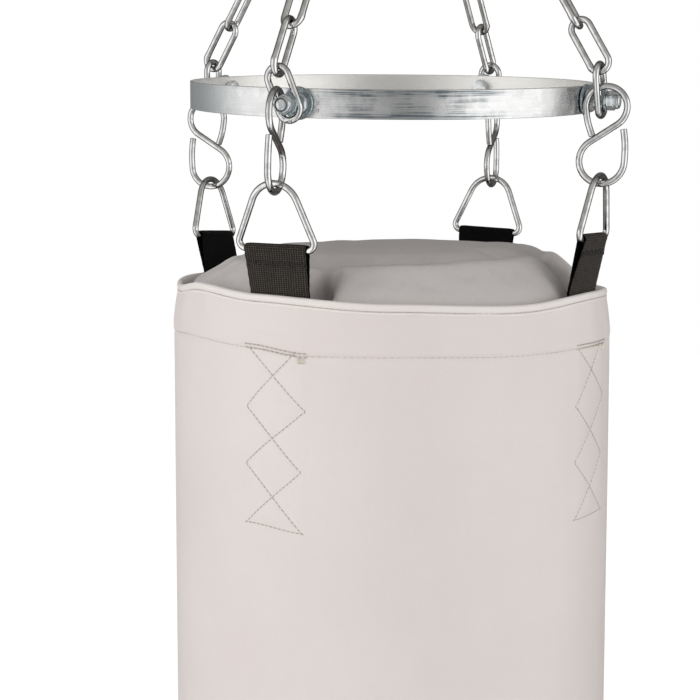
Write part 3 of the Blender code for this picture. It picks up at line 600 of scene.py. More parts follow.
bandAxis = bandFrame.to_3x3() @ up
bandMiddle = 0.1595
# the band's front, where the darker mottling also stands for a painted dark reflection
paintedReflectionAzimuth = radians(6)
materials = {
    "wire": wireZinc("brightZincWire", {
        "bright": (0.92, 0.92, 0.91), "dull": (0.70, 0.70, 0.69), "speck": (0.28, 0.28, 0.28),
        # edge is painted shade at the wire's grazing edges
        "edge": (0.10, 0.095, 0.09), "rough": 0.06}),
    "nut": hardwareZinc("zincHardware", {
        "bright": (0.76, 0.79, 0.80), "dull": (0.54, 0.58, 0.60), "tinge": (0.54, 0.62, 0.65),
        "rough": 0.17}),
    "washer": hardwareZinc("bluedZincWasher", {
        "bright": (0.56, 0.63, 0.65), "dull": (0.40, 0.47, 0.49), "tinge": (0.44, 0.55, 0.58),
        "rough": 0.24}),
    "bolt": hardwareZinc("zincBolt", {
        "bright": (0.92, 0.93, 0.94), "dull": (0.80, 0.82, 0.83), "tinge": (0.78, 0.84, 0.86),
        "rough": 0.34}),
    "bearing": hardwareZinc("bearingSteel", {
        "bright": (0.56, 0.56, 0.58), "dull": (0.44, 0.44, 0.46), "tinge": (0.52, 0.50, 0.44),
        "rough": 0.14}),
    "band": galvanisedBand("galvanisedBand", {
        # dull is the mottle colour; on the front it also paints the dark reflection there
        "bright": (0.86, 0.86, 0.85), "dull": (0.22, 0.255, 0.275), "weldTint": (0.30, 0.33, 0.35),
        # inner is a painted reflection: the inner face painted brighter than the outer
        "inner": (1.0, 0.985, 0.95), "cool": (0.66, 0.72, 0.75), "rough": 0.2,
        "welds": (0.0052, 0.0005, -0.0048), "weldSize": 0.0019, "paintedLightInnerRadius": 0.1583,
        "rimFade": (0.0035, 0.0095), "paintedReflectionFade": (0.89, 0.975), "leftFade": (-0.10, -0.15),
        "paintedReflectionFacing": (sin(paintedReflectionAzimuth) / bandMiddle, -cos(paintedReflectionAzimuth) / bandMiddle, 0),
        "axis": tuple(bandAxis), "middle": bandAxis.dot(bandFrame.translation)}),
    # the crease colours below are painted shade in the grain's creases
    "shell": coatedLeather("shellLeather", {
        "light": (0.775, 0.71, 0.675), "warm": (0.745, 0.675, 0.645), "crease": (0.64, 0.58, 0.55),
        "creaseShadeDepth": 0.3, "rough": 0.42, "gloss": 0.4, "grain": 1100.0, "bump": 0.28}),
    "binding": coatedLeather("bindingLeather", {
        "light": (0.84, 0.79, 0.75), "warm": (0.80, 0.75, 0.71), "crease": (0.62, 0.57, 0.54),
        "creaseShadeDepth": 0.25, "rough": 0.4, "gloss": 0.4, "grain": 1300.0, "bump": 0.2}),
    "cover": coatedLeather("coverCloth", {
        "light": (0.50, 0.465, 0.445), "warm": (0.445, 0.41, 0.40), "crease": (0.27, 0.255, 0.24),
        # panel is the side panel's colour, painted light: lighter than the top because the side faces the
        # lamps
        "panel": (0.60, 0.56, 0.54), "panelFrom": 0.121,
        "creaseShadeDepth": 0.35, "rough": 0.5, "gloss": 0.35, "grain": 1500.0, "bump": 0.22}),
    "webbing": webbingCloth("blackWebbing", {
        "dark": (0.010, 0.008, 0.007), "dusty": (0.016, 0.013, 0.011), "fleck": (0.17, 0.15, 0.13),
        "gloss": 0.08, "ribs": 500.0, "rows": 660.0}),
    # a near-black copy of the webbing: painted shade for its back, edges and shaded faces
    "webbingPaintedShade": webbingCloth("blackWebbingPaintedShade", {
        "dark": (0.002, 0.002, 0.002), "dusty": (0.003, 0.003, 0.003), "fleck": (0.008, 0.007, 0.006),
        "gloss": 0.04, "ribs": 500.0, "rows": 660.0}),
    # the insert's near-black colour is partly painted shade of the recessed collar mouth
    "nylon": nylonInsert("nylonInsert", {"clean": (0.05, 0.055, 0.06), "scuffed": (0.11, 0.115, 0.12)}),
}
threadColors = {
    "thread": ("beigeThread", (0.56, 0.49, 0.43), (0.44, 0.38, 0.34)),
    "blackThread": ("blackThread", (0.012, 0.011, 0.01), (0.03, 0.027, 0.024)),
    "tackThread": ("creamThread", (0.86, 0.80, 0.70), (0.78, 0.72, 0.62)),
    "hemThread": ("paleThread", (0.58, 0.52, 0.49), (0.50, 0.44, 0.41)),
    "seamThread": ("seamThread", (0.46, 0.41, 0.37), (0.54, 0.48, 0.44)),
}
for label, (threadName, threadColor, wornColor) in threadColors.items():
    materials[label] = threadFibre(threadName, {"thread": threadColor, "worn": wornColor})
print("materials made")


# Geometry Nodes helpers
def runTree(name, tree, base, values):
    carrier = newObject(name, base)
    run = carrier.modifiers.new("build", "NODES")
    run.node_group = tree
    for item in tree.interface.items_tree:
        if item.item_type == "SOCKET" and item.in_out == "INPUT" and item.name in values:
            run[item.identifier] = values[item.name]
    mesh = evaluated(carrier)
    bpy.data.objects.remove(carrier)
    mesh.name = name
    return mesh


# copies of an object on points, made real and given their material
def placeCopies(tree, given, end, shape, points, rotation):
    copied = addNode(tree, "GeometryNodeObjectInfo", {"Object": given[shape]}).outputs["Geometry"]
    placed = addNode(tree, "GeometryNodeInstanceOnPoints", {
        "Points": points, "Instance": copied, "Rotation": rotation})
    real = addNode(tree, "GeometryNodeRealizeInstances", {0: placed.outputs[0]})
    painted = addNode(tree, "GeometryNodeSetMaterial", {
        "Geometry": real.outputs[0], "Material": given["Material"]})
    setInputs(tree, end, {"Geometry": painted.outputs[0]})


# links of a chain along Z, each turned against the one before
def chainTree():
    tree, given, end = newTree("Geometry", "chainLinks", (
        ("Geometry", "Geometry", None), ("Link", "Object", None), ("Count", "Int", 9),
        ("Pitch", "Float", 0.035), ("Twist", "Float", quarter), ("Material", "Material", None),
    ), (("Geometry", "Geometry"),))
    offset = addNode(tree, "ShaderNodeCombineXYZ", {2: given["Pitch"]}).outputs[0]
    line = addNode(tree, "GeometryNodeMeshLine", {"Count": given["Count"], "Offset": offset}).outputs[0]
    turn = times(tree, addNode(tree, "GeometryNodeInputIndex").outputs[0], given["Twist"])
    spin = addNode(tree, "ShaderNodeCombineXYZ", {2: turn}).outputs[0]
    rotation = addNode(tree, "FunctionNodeEulerToRotation", {0: spin}).outputs[0]
    placeCopies(tree, given, end, "Link", line, rotation)
    return tree


# stitches along a path: a short thread at each step, lying along the path
def stitchTree():
    tree, given, end = newTree("Geometry", "stitchRow", (
        ("Geometry", "Geometry", None), ("Stitch", "Object", None), ("Pitch", "Float", 0.003),
        ("Material", "Material", None)), (("Geometry", "Geometry"),))
    line = addNode(tree, "GeometryNodeMeshToCurve", {0: given["Geometry"]}).outputs[0]
    points = addNode(tree, "GeometryNodeCurveToPoints", {0: line, "Length": given["Pitch"]},
                     mode="LENGTH").outputs
    placeCopies(tree, given, end, "Stitch", points["Points"], points["Rotation"])
    return tree


trees = {"chain": chainTree(), "stitch": stitchTree()}


def pathMesh(points, closed=False):
    count = len(points)
    mesh = bpy.data.meshes.new("path")
    links = [(i, (i + 1) % count) for i in range(count if closed else count - 1)]
    mesh.from_pydata([tuple(p) for p in points], links, [])
    return mesh


def stitchShape(length, radius):
    mesh = wireMesh("stitchShape", [
        (0, 0, -length / 2), (0, radius * 0.2, -length * 0.3), (0, radius * 0.35, 0),
        (0, radius * 0.2, length * 0.3), (0, 0, length / 2)], radius, sides=6)
    return newObject("stitchShape", mesh)


def stitches(name, paths, pitch, length, radius, material):
    shape = stitchShape(length, radius)
    values = {"Stitch": shape, "Pitch": pitch, "Material": materials[material]}
    rows = [runTree(name, trees["stitch"], pathMesh(points, closed), values) for points, closed in paths]
    bpy.data.objects.remove(shape)
    return joinMeshes(name, rows)


# bolts, end links, hooks: where each one hangs
bolt = {
    "frontShift": radians(-4.6), "backShift": radians(0.4), "bigWasher": (0.012, 0.002),
    "clampNut": 0.008, "flange": (0.0078, 0.0014), "smallWasher": (0.0075, 0.0016), "lockHex": 0.0057,
    "collar": (0.0063, 0.0033), "tip": 0.0005, "hexRadius": 0.0075, "shank": 0.0039, "head": 0.0053,
    "band": 0.003, "play": 0.0008, "bore": 0.0043, "threadPitch": 0.00125, "threadDepth": 0.0006,
    "insert": (0.0051, 0.0040), "collarMouth": 0.0052, "flangeNeck": 0.0062,
}
bolt["washerSeat"] = hang["gap"]
bolt["clampSeat"] = bolt["washerSeat"] + bolt["bigWasher"][1] + hang["gap"]
bolt["linkMiddle"] = bolt["clampSeat"] + bolt["clampNut"] + bolt["play"] + hang["wire"] / 2
bolt["outerSeat"] = bolt["linkMiddle"] + hang["wire"] / 2 + hang["gap"] + bolt["play"] / 8
bolt["lockSeat"] = bolt["outerSeat"] + bolt["smallWasher"][1] + hang["gap"]
bolt["end"] = bolt["lockSeat"] + bolt["lockHex"] + bolt["collar"][1] + bolt["tip"]

hook = {
    "frontShift": radians(-2.1), "backShift": radians(0.4), "twist": radians(-12), "sway": radians(2.3),
    "topBend": 0.0155, "lowBend": 0.017, "apart": 0.0403, "lean": 0.0029, "belowBolt": 0.0052,
    "upperTip": (0.66, 1.4), "lowerTip": (0.94, 1.4), "tipCurl": (0.0010, 0.0008),
}
triangle = {
    "width": 0.066, "height": 0.0527, "twist": radians(-4), "corner": 0.0052, "peak": 0.0195,
    "barAboveRim": 0.035, "roll": radians(3.3), "weld": (0.86, 0.012, 0.1),
}
link = {
    "pitch": 0.0385, "endPitch": 0.035, "innerWidth": 0.010, "endInnerWidth": 0.012, "tilt": radians(20.5),
    "reach": 0.0288, "shift": 0.0018, "weld": (0.72, 0.014, 0.12), "sunk": 0.0001,
    "seats": {"front_left": radians(-32), "front_right": radians(-15), "back_left": radians(15),
              "back_right": radians(32)},
}
hook["radius"] = (
    hang["bandRadius"] + bolt["clampSeat"] + hang["wire"] / 2 + hook["topBend"] * cos(hook["twist"]))
triangleTop = hang["rim"] + triangle["barAboveRim"] + triangle["height"] - hang["wire"]


def strapAzimuth(name):
    return hang["strapAzimuth"] + stationNames.index(name) * quarter


def azimuthOf(name, facts):
    return strapAzimuth(name) + (facts["frontShift"] if name in wedged else facts["backShift"])


def boltFrame(name):
    return bandFrame @ station(azimuthOf(name, bolt), hang["bandRadius"])


def hookFrame(name):
    if name in wedged:
        height = (boltFrame(name) @ Vector((bolt["linkMiddle"], 0, 0))).z - hook["belowBolt"]
    else:
        height = triangleTop - hang["wire"] - hang["gap"] + hook["lowBend"] + hook["apart"]
    place = station(azimuthOf(name, hook), hook["radius"], height)
    sway = -hook["sway"] if name in wedged else 0
    return place @ Matrix.Rotation(-hook["twist"], 4, "Z") @ Matrix.Rotation(sway, 4, "X")


def endLinkPlace(name):
    place = boltFrame(name)
    out, lift = place.to_3x3() @ Vector((1, 0, 0)), place.to_3x3() @ up
    middle = place @ Vector((bolt["linkMiddle"], 0, 0))
    if name in wedged:
        level = up.cross(out).normalized()
        along = level * sin(link["tilt"]) - out.cross(level) * cos(link["tilt"])
        top = middle - along * link["reach"] + along.cross(out) * link["shift"]
    else:
        along = -lift
        inward = hook["radius"] - hang["bandRadius"] - bolt["linkMiddle"]
        reach = hook["topBend"] - hang["wire"] - 2 * hang["gap"]
        seat = hookFrame(name).translation.z + sqrt(reach**2 - (inward / cos(hook["twist"])) ** 2)
        top = middle + lift * ((seat - middle.z) / lift.z + link["endPitch"] + hang["wire"])
    return top, along, along.cross(out).normalized()


def strapFrame(name):
    return station(strapAzimuth(name))


def triangleFrame(name):
    inside = -hook["apart"] - hook["lowBend"] + hang["wire"] + 4 * hang["gap"]
    bend = hookFrame(name) @ Vector((-hook["lean"], 0, inside))
    bar = strapFrame(name) @ Vector((hang["strapRadius"], 0, 0))
    level = hypot(bend.x - bar.x, bend.y - bar.y)
    bar.z = bend.z - sqrt((triangle["height"] - hang["wire"]) ** 2 - level**2)
    lift = (bend - bar).normalized()
    side = strapFrame(name).to_3x3() @ Matrix.Rotation(-triangle["twist"], 3, "Z") @ Vector((0, 1, 0))
    side = (side - lift * side.dot(lift)).normalized()
    place = frameOf(side.cross(lift), side, lift, bar)
    if name in wedged:
        peak = Matrix.Translation((0, 0, triangle["height"] - hang["wire"] - triangle["peak"]))
        place = place @ peak @ Matrix.Rotation(triangle["roll"], 4, "X") @ peak.inverted()
    return place


def linkPath(start, along, across, length, innerWidth):
    bend = (innerWidth + hang["wire"]) / 2
    first = start + along * bend
    last = start + along * (length - bend)
    return arc(first, bend, 0, -pi, across, along) + arc(last, bend, pi, 0, across, along)


# a wire is thicker over its weld: where along the path, how wide, how much
def swellAt(weld):
    middle, width, more = weld
    return lambda place: 1 + more * exp(-((place - middle) / width) ** 2)


def camel(name):
    return "".join(word.capitalize() for word in name.split("_"))


def endLinkMesh(top, along, across):
    path = linkPath(top, along, across, link["endPitch"] + hang["wire"], link["endInnerWidth"])
    return wireMesh("endLink", path, hang["wire"] / 2, True, swell=swellAt(link["weld"]))


# a straight chain from the master ring to the end link, twisted evenly so that both its ends fit
def chainMesh(name, top, along, across):
    wire, radius, swing = hang["wire"], hang["masterRadius"], link["seats"][name]
    bend = (link["endInnerWidth"] + wire) / 2
    center = hang["masterTop"] - radius
    seat = Vector((0, radius * sin(swing), center - radius * cos(swing)))
    tangent = Vector((0, cos(swing), sin(swing)))
    middle = top + along * bend
    reach = middle - seat
    level = (along * reach.dot(along) + across * reach.dot(across)).normalized()
    held = middle - level * bend
    across = across * level.dot(along) - along * level.dot(across)
    pull = (held - seat).normalized()
    first = seat - pull * ((hang["masterWire"] + wire) / 2 + 2 * hang["gap"])
    last = held + pull * (wire + 3 * hang["gap"])
    span = (last - first).length - wire
    count = round(span / link["pitch"])
    pitch = span / count
    startNormal = (tangent - pull * tangent.dot(pull)).normalized()
    endNormal = (across - pull * across.dot(pull)).normalized()
    turn = atan2(startNormal.cross(endNormal).dot(pull), startNormal.dot(endNormal))
    quarters = round((turn - (count - 1) * quarter) / pi) * 2
    spare = turn - (count - 1) * quarter - quarters * quarter
    path = linkPath(Vector(), up, Vector((1, 0, 0)), pitch + wire - link["sunk"], link["innerWidth"])
    master = newObject("linkShape", wireMesh("linkShape", path, wire / 2, True, 14, swellAt(link["weld"])))
    mesh = runTree("chain" + camel(name), trees["chain"], bpy.data.meshes.new("empty"), {
        "Link": master, "Count": count, "Pitch": pitch, "Twist": quarter + spare / (count - 1),
        "Material": materials["wire"]})
    bpy.data.objects.remove(master)
    mesh.transform(frameOf(startNormal.cross(pull), startNormal, pull, first))
    return mesh


def makeChains():
    for name in stationNames:
        place = endLinkPlace(name)
        addPiece("endLink" + camel(name), endLinkMesh(*place), "rig", "wire", "zinc", "end_link_" + name)
        addPiece("chain" + camel(name), chainMesh(name, *place), "rig", "wire", "zinc", "chain_" + name)


makeChains()
print("chains and end links made")


# S-hooks and triangle rings
def hookPath():
    out = Vector((1, 0, 0))
    low = Vector((-hook["lean"], 0, -hook["apart"]))
    slope = acos((hook["topBend"] + hook["lowBend"]) / low.length)
    leave = atan2(low.z, low.x) + slope
    upper = arc(Vector(), hook["topBend"], pi, leave, out, up, radians(7))
    lower = arc(low, hook["lowBend"], leave + pi, 2 * pi, out, up, radians(7))
    (upperAside, upperDrop), (lowerAside, lowerLift), (curlIn, curlOut) = (
        hook["upperTip"], hook["lowerTip"], hook["tipCurl"])
    upperTip = Vector((-hook["topBend"] * upperAside, 0, -hook["topBend"] * upperDrop))
    lowerTip = low + Vector((hook["lowBend"] * lowerAside, 0, hook["lowBend"] * lowerLift))
    start = [upperTip.lerp(upper[0], k / 6) + Vector((-curlIn * sin(pi * k / 6), 0, 0)) for k in range(6)]
    end = [lower[-1].lerp(lowerTip, k / 6) + Vector((curlOut * sin(pi * k / 6), 0, 0)) for k in range(1, 7)]
    return start + upper + lower + end


def trianglePath():
    side = Vector((0, 1, 0))
    half = (triangle["width"] - hang["wire"]) / 2 - triangle["corner"]
    peak = triangle["height"] - hang["wire"] - triangle["peak"]
    reach = hypot(half, peak - triangle["corner"])
    slope = atan2(peak - triangle["corner"], half) + asin((triangle["peak"] - triangle["corner"]) / reach)
    lean = quarter - slope
    right, left = Vector((0, half, triangle["corner"])), Vector((0, -half, triangle["corner"]))
    points = arc(right, triangle["corner"], -quarter, lean, side, up)
    points += arc(Vector((0, 0, peak)), triangle["peak"], lean, pi - lean, side, up, radians(6))
    points += arc(left, triangle["corner"], pi - lean, 3 * quarter, side, up)
    return points


def makeHooksAndTriangles():
    for name in stationNames:
        mesh = wireMesh("hook", hookPath(), hang["wire"] / 2, False, 18)
        mesh.transform(hookFrame(name))
        addPiece("sHook" + camel(name), mesh, "hook_" + name, "wire", "zinc", "s_hook_" + name)
        mesh = wireMesh("triangle", trianglePath(), hang["wire"] / 2, True, 18, swellAt(triangle["weld"]))
        mesh.transform(triangleFrame(name))
        addPiece("triangleRing" + camel(name), mesh, "bag", "wire", "zinc", "triangle_ring_" + name)


makeHooksAndTriangles()
print("hooks and triangle rings made")


# spreader ring: flat band with eased edges and four bolt holes
band = {"halfHeight": 0.0106, "ease": 0.0006, "cut": 0.006}


def makeBand():
    half, ease = band["halfHeight"], band["ease"]
    outer, inner = hang["bandRadius"], hang["bandRadius"] - bolt["band"]
    profile = []
    for radius, height, start in (
            (outer, half, 0), (outer, -half, -1), (inner, -half, -2), (inner, half, -3)):
        middle = radius - ease if radius == outer else radius + ease
        level = height - ease if height > 0 else height + ease
        for k in range(4):
            turn = quarter * (start + 1) - quarter * k / 3
            profile.append((middle + ease * cos(turn), level + ease * sin(turn)))
    holes = []
    for name in stationNames:
        hole = prismMesh("hole", bolt["bore"], -band["cut"], band["cut"], 40)
        hole.transform(station(azimuthOf(name, bolt), hang["bandRadius"]) @ Matrix.Rotation(quarter, 4, "Y"))
        holes.append((hole, "DIFFERENCE"))
    mesh = combine("spreaderRing", turnedMesh("band", profile, 256), holes)
    mesh.transform(bandFrame)
    addPiece("spreaderRing", mesh, "rig", "band", "galvanised", "spreader_ring", sharp=30)


def washerMesh(radius, bore, low, thick):
    high = low + thick
    ease = min(0.0004, (high - low) / 3)
    return turnedMesh("washer", [
        (radius - ease, high), (radius, high - ease), (radius, low + ease), (radius - ease, low),
        (bore + ease, low), (bore, low + ease), (bore, high - ease), (bore + ease, high)], 56)


def nutMesh(low, high, bore, chamferLow=True):
    radius = bolt["hexRadius"]
    drop, flat = radius * 0.10, radius * 0.87
    bottom = [(radius, low + drop), (flat, low)] if chamferLow else [(radius * 1.1, low)]
    profile = [(0, high + 1e-5), (flat, high + 1e-5), (radius * 1.01, high - drop), *bottom, (0, low - 1e-5)]
    tools = [(turnedMesh("cap", profile, 64, closed=False), "INTERSECT"),
             (prismMesh("bore", bore, low - 0.01, high + 0.01, 40), "DIFFERENCE")]
    return combine("nut", prismMesh("nut", radius, low, high, 6, quarter), tools)


# the bolt's head lies inside the band; its rod is turned with a thread
def ringBoltMesh():
    inner, shank = hang["bandRadius"] - bolt["band"], bolt["shank"]
    depth, pitch = bolt["threadDepth"], bolt["threadPitch"]
    sagitta = inner - sqrt(inner ** 2 - bolt["hexRadius"] ** 2)
    headTop = -bolt["band"] - 2 * hang["gap"] - sagitta
    profile = [(0, bolt["end"]), (shank - 0.0008, bolt["end"])]
    height = bolt["end"] - 0.0006
    while height > -0.002:
        profile += [(shank, height), (shank, height - pitch * 0.3), (shank - depth, height - pitch * 0.65)]
        height -= pitch
    profile += [(shank, height), (shank, headTop - 0.001), (0, headTop - 0.001)]
    rod = turnedMesh("rod", profile, 32, closed=False)
    return joinMeshes("ringBolt", [nutMesh(headTop - bolt["head"], headTop, 0.0005), rod])


def clampNutMesh():
    low, bore, (radius, thick) = bolt["clampSeat"], bolt["bore"], bolt["flange"]
    neck = low + thick * 1.4
    flange = turnedMesh("flange", [
        (radius - 0.0003, low + thick * 0.5), (radius, low + thick * 0.3),
        (radius - 0.0002, low), (bore, low),
        (bore, neck), (bolt["flangeNeck"], neck)], 56)
    return joinMeshes("clampNut", [flange, nutMesh(low + thick, low + bolt["clampNut"], bore, False)])


def lockNutMesh():
    low, (radius, height), mouth = bolt["lockSeat"], bolt["collar"], bolt["collarMouth"]
    high = low + bolt["lockHex"]
    foot, top = high - 0.0006, high + height
    collar = turnedMesh("collar", [
        (radius, foot), (radius, top - 0.0012), (radius - 0.0005, top - 0.0003), (radius - 0.0012, top),
        (mouth, top), (mouth, foot)], 56)
    return joinMeshes("lockNut", [nutMesh(low, high, bolt["bore"]), collar])


def lockInsertMesh():
    (outer, inner), low = bolt["insert"], bolt["lockSeat"] + bolt["lockHex"]
    top = low + bolt["collar"][1]
    return turnedMesh("insert", [(outer, top - 0.0004), (outer, low + 0.0002), (inner, low + 0.0002),
                                 (inner, top - 0.0005)], 40)


def boltWasherMesh(size, seat):
    radius, thick = bolt[size]
    return washerMesh(radius, bolt["bore"], bolt[seat], thick)


def makeBolts():
    for name in stationNames:
        place = boltFrame(name) @ Matrix.Rotation(quarter, 4, "Y")
        for label, mesh, material, nodes in (
                ("ringBolt", ringBoltMesh(), "bolt", ["ring_bolt_" + name]),
                ("ringWasher", boltWasherMesh("bigWasher", "washerSeat"), "washer", ["ring_washer_" + name]),
                ("clampNut", clampNutMesh(), "nut", ["clamp_nut_" + name]),
                ("linkWasher", boltWasherMesh("smallWasher", "outerSeat"), "washer", ["link_washer_" + name]),
                ("lockNut", lockNutMesh(), "nut", ["lock_nut_" + name]),
                ("lockInsert", lockInsertMesh(), "nylon", [])):
            mesh.transform(place)
            addPiece(label + camel(name), mesh, "rig", material, "zinc", *nodes)


makeBand()
makeBolts()
print("spreader ring and bolts made")


# master ring and swivel
swivel = {
    "eyeBore": 0.012, "eyeWire": 0.008, "hubTop": -0.034, "hubHeight": 0.012, "hubRadius": 0.012,
    "bowWire": 0.008, "bowInner": 0.027, "bowBottom": -0.0823, "knee": 0.005, "legStart": 0.006,
    "stem": 0.0040, "stemTop": -0.0285, "stemEnd": -0.0635, "stemCollar": 0.0055,
    "stemNut": (-0.0621, -0.0556), "bore": 0.0046, "race": 0.0095, "raceThick": 0.0022,
    "raceSeats": {"upper": -0.0485, "lower": -0.0553},
    "cage": (0.0079, 0.0059, -0.0515, 0.0014), "balls": 8, "ball": 0.002, "ballCircle": 0.0069,
    "ballHeight": -0.0508, "ringWeld": (0.02, 0.012, 0.08),
}


def swivelEyeMesh(side):
    wire, stem, end, collar = swivel["eyeWire"] / 2, swivel["stem"], swivel["stemEnd"], swivel["stemCollar"]
    path = arc(Vector((0, 0, -swivel["eyeBore"])), swivel["eyeBore"] + wire, 0, 2 * pi, side, up, radians(6))
    loop = wireMesh("eye", path, wire, True, 24)
    rod = turnedMesh("stem", [
        (0, swivel["stemTop"]), (stem, swivel["stemTop"]), (collar, -0.0300), (collar, -0.0325),
        (stem, -0.0335), (stem, -0.0622), (0.0033, end), (0, end)], 40, closed=False)
    return combine("swivelEye", loop, [(rod, "UNION")])


def swivelBowMesh(out):
    half, knee, start = (swivel["bowInner"] + swivel["bowWire"]) / 2, swivel["knee"], swivel["legStart"]
    low, high, radius = swivel["hubTop"] - swivel["hubHeight"], swivel["hubTop"], swivel["hubRadius"]
    shoulder = swivel["hubTop"] - swivel["hubHeight"] / 2
    path = [Vector((-start, 0, shoulder))]
    path += arc(Vector((-half + knee, 0, shoulder - knee)), knee, quarter, pi, out, up)
    path += arc(Vector((0, 0, swivel["bowBottom"] + half)), half, pi, 2 * pi, out, up)
    path += arc(Vector((half - knee, 0, shoulder - knee)), knee, 0, quarter, out, up)
    path += [Vector((start, 0, shoulder))]
    legs = wireMesh("bow", path, swivel["bowWire"] / 2, False, 24)
    hub = turnedMesh("hub", [
        (0, high), (radius - 0.0014, high), (radius - 0.0004, high - 0.0005), (radius, high - 0.0016),
        (radius, low + 0.0010), (radius - 0.0010, low), (0, low)], 56, closed=False)
    bore = prismMesh("bore", swivel["bore"], low - 0.01, high + 0.01, 40)
    return combine("swivelBow", hub, [(legs, "UNION"), (bore, "DIFFERENCE")])


def raceMesh(which):
    return washerMesh(swivel["race"], swivel["bore"], swivel["raceSeats"][which], swivel["raceThick"])


def ballCageMesh():
    meshes = [washerMesh(*swivel["cage"])]
    for number in range(swivel["balls"]):
        turn = 2 * pi * number / swivel["balls"]
        place = (swivel["ballCircle"] * cos(turn), swivel["ballCircle"] * sin(turn), swivel["ballHeight"])
        grid = bmesh.new()
        bmesh.ops.create_uvsphere(grid, u_segments=20, v_segments=14, radius=swivel["ball"],
                                  matrix=Matrix.Translation(place))
        meshes.append(meshFrom("ball", grid, False))
    return joinMeshes("ballCage", meshes)


def makeSwivel():
    side, out = Vector((0, 1, 0)), Vector((1, 0, 0))
    center = Vector((0, 0, hang["masterTop"] - hang["masterRadius"]))
    path = arc(center, hang["masterRadius"], 0, 2 * pi, side, up, radians(5))
    ring = wireMesh("masterRing", path, hang["masterWire"] / 2, True, 24, swellAt(swivel["ringWeld"]))
    for name, mesh, body, material, slot, node in (
            ("masterRing", ring, "ring", "wire", "zinc", "master_ring"),
            ("swivelEye", swivelEyeMesh(side), "hanger", "nut", "zinc", "swivel_eye"),
            ("swivelBow", swivelBowMesh(out), "swivel", "nut", "zinc", "swivel_bow"),
            ("stemNut", nutMesh(*swivel["stemNut"], bolt["bore"]),
             "hanger", "nut", "zinc", "swivel_stem_nut"),
            ("upperRace", raceMesh("upper"), "swivel", "bearing", "bearing", "swivel_upper_race"),
            ("lowerRace", raceMesh("lower"), "hanger", "bearing", "bearing", "swivel_lower_race"),
            ("ballCage", ballCageMesh(), "swivel", "bearing", "bearing", "swivel_ball_cage")):
        addPiece(name, mesh, body, material, slot, node)


makeSwivel()
print("swivel and master ring made")


# the bag's edge lines rise and fall a little round it: azimuth in degrees, millimetres
edges = {
    "rim": ((-61, 2.0), (-33, -2.6), (0, 0.3), (35, 5.2), (58, 9.4), (76, 4.2), (100, 6.0), (119, 5.2),
            (165, -1.5), (209, 3.6), (255, -1.6)),
    "hem": ((-34, -3.2), (-4, -1.5), (21, -1.9), (36, 2.0), (62, 4.9), (85, 2.4), (119, 1.6), (165, -0.6),
            (209, 1.2), (255, -0.8)),
    "rimInset": 0.0011, "baseInset": 0.0006,
}


def edgeRise(azimuth, points):
    degrees = azimuth * 180 / pi
    places = [p[0] for p in points]
    degrees = (degrees - places[0]) % 360 + places[0]
    for i, (place, value) in enumerate(points):
        after = points[(i + 1) % len(points)]
        end = after[0] if i + 1 < len(points) else after[0] + 360
        if place <= degrees <= end:
            t = (degrees - place) / (end - place)
            return (value + (after[1] - value) * t * t * (3 - 2 * t)) / 1000
    return 0.0


def rimHeight(azimuth):
    return hang["rim"] - edges["rimInset"] + edgeRise(azimuth, edges["rim"])


def hemHeight(azimuth):
    return hang["hem"] + edgeRise(azimuth, edges["hem"])


# the strap's stitching on the shell: sideways and down from the hem, millimetres
sewing = {
    "lines": (((-20.9, -1.3), (25.4, -40.1), (-26.1, -85.8), (22.7, -130.0)),
              ((15.8, 0.1), (-25.3, -43.6), (21.6, -85.2), (-26.0, -129.9))),
    "closing": ((-26.0, -129.9), (22.7, -130.0)),
    "doubleRow": ((-24.6, 1.3), (25.4, 0.4)),
    "rowsApart": 2.9,
    "tack": ((19.4, -1.9), (25.4, -5.6)), "tackTurns": 10, "tackThread": 0.00036,
    "pitch": 0.0037, "dash": 0.0025, "thread": 0.00046,
    "hemPitch": 0.0048, "hemDash": 0.0028, "hemThread": 0.00028,
}
sewnLines = [(line[i], line[i + 1]) for line in sewing["lines"] for i in range(3)] + [sewing["closing"]]


def lineDistance(u, v, a, b):
    dx, dy = b[0] - a[0], b[1] - a[1]
    t = max(0.0, min(1.0, ((u - a[0]) * dx + (v - a[1]) * dy) / (dx * dx + dy * dy)))
    return hypot(u - a[0] - dx * t, v - a[1] - dy * t)


# the strap under the shell lifts a patch of it, which its stitches draw in again: places round the strap in
# millimetres, rise and depth in metres
strapPatch = {"aside": 34, "low": -150, "high": 12, "half": 29, "sideFade": 6, "foot": 146, "footFade": 8,
              "rise": 0.0005, "drawn": 0.00055, "threadReach": 1.8}
shell = {
    "angles": 480, "wall": 0.0020, "bulge": 0.0010, "bulgeReach": 0.22, "drift": 0.0006, "wrinkle": 0.0013,
    "hemStep": 0.0005, "hemGroove": 0.0007, "grooveReach": 0.0012, "wrinkleReach": 0.05,
    "rimLean": 0.0044, "innerLean": 0.0040, "footRound": 0.0024, "footShare": 0.006, "panelRadius": 0.1702,
}


# how far the straps push the rim out
def rimBulge(azimuth):
    nearest = min(abs(wrapped(azimuth - hang["strapAzimuth"] - i * quarter)) for i in range(4))
    return shell["bulge"] * exp(-(nearest / shell["bulgeReach"]) ** 2)


def strapRelief(azimuth, fromHem):
    relief = 0.0
    for i in range(4):
        aside = wrapped(hang["strapAzimuth"] + i * quarter - azimuth)
        u, v = aside * hang["bagRadius"] * 1000, fromHem * 1000
        if abs(u) < strapPatch["aside"] and strapPatch["low"] < v < strapPatch["high"]:
            across = min(1, max(0, (strapPatch["half"] - abs(u)) / strapPatch["sideFade"]))
            down = min(1, max(0, (v + strapPatch["foot"]) / strapPatch["footFade"]))
            near = min(lineDistance(u, v, a, b) for a, b in sewnLines)
            relief += strapPatch["rise"] * (across * down)
            relief -= strapPatch["drawn"] * exp(-(near / strapPatch["threadReach"]) ** 2)
    return relief


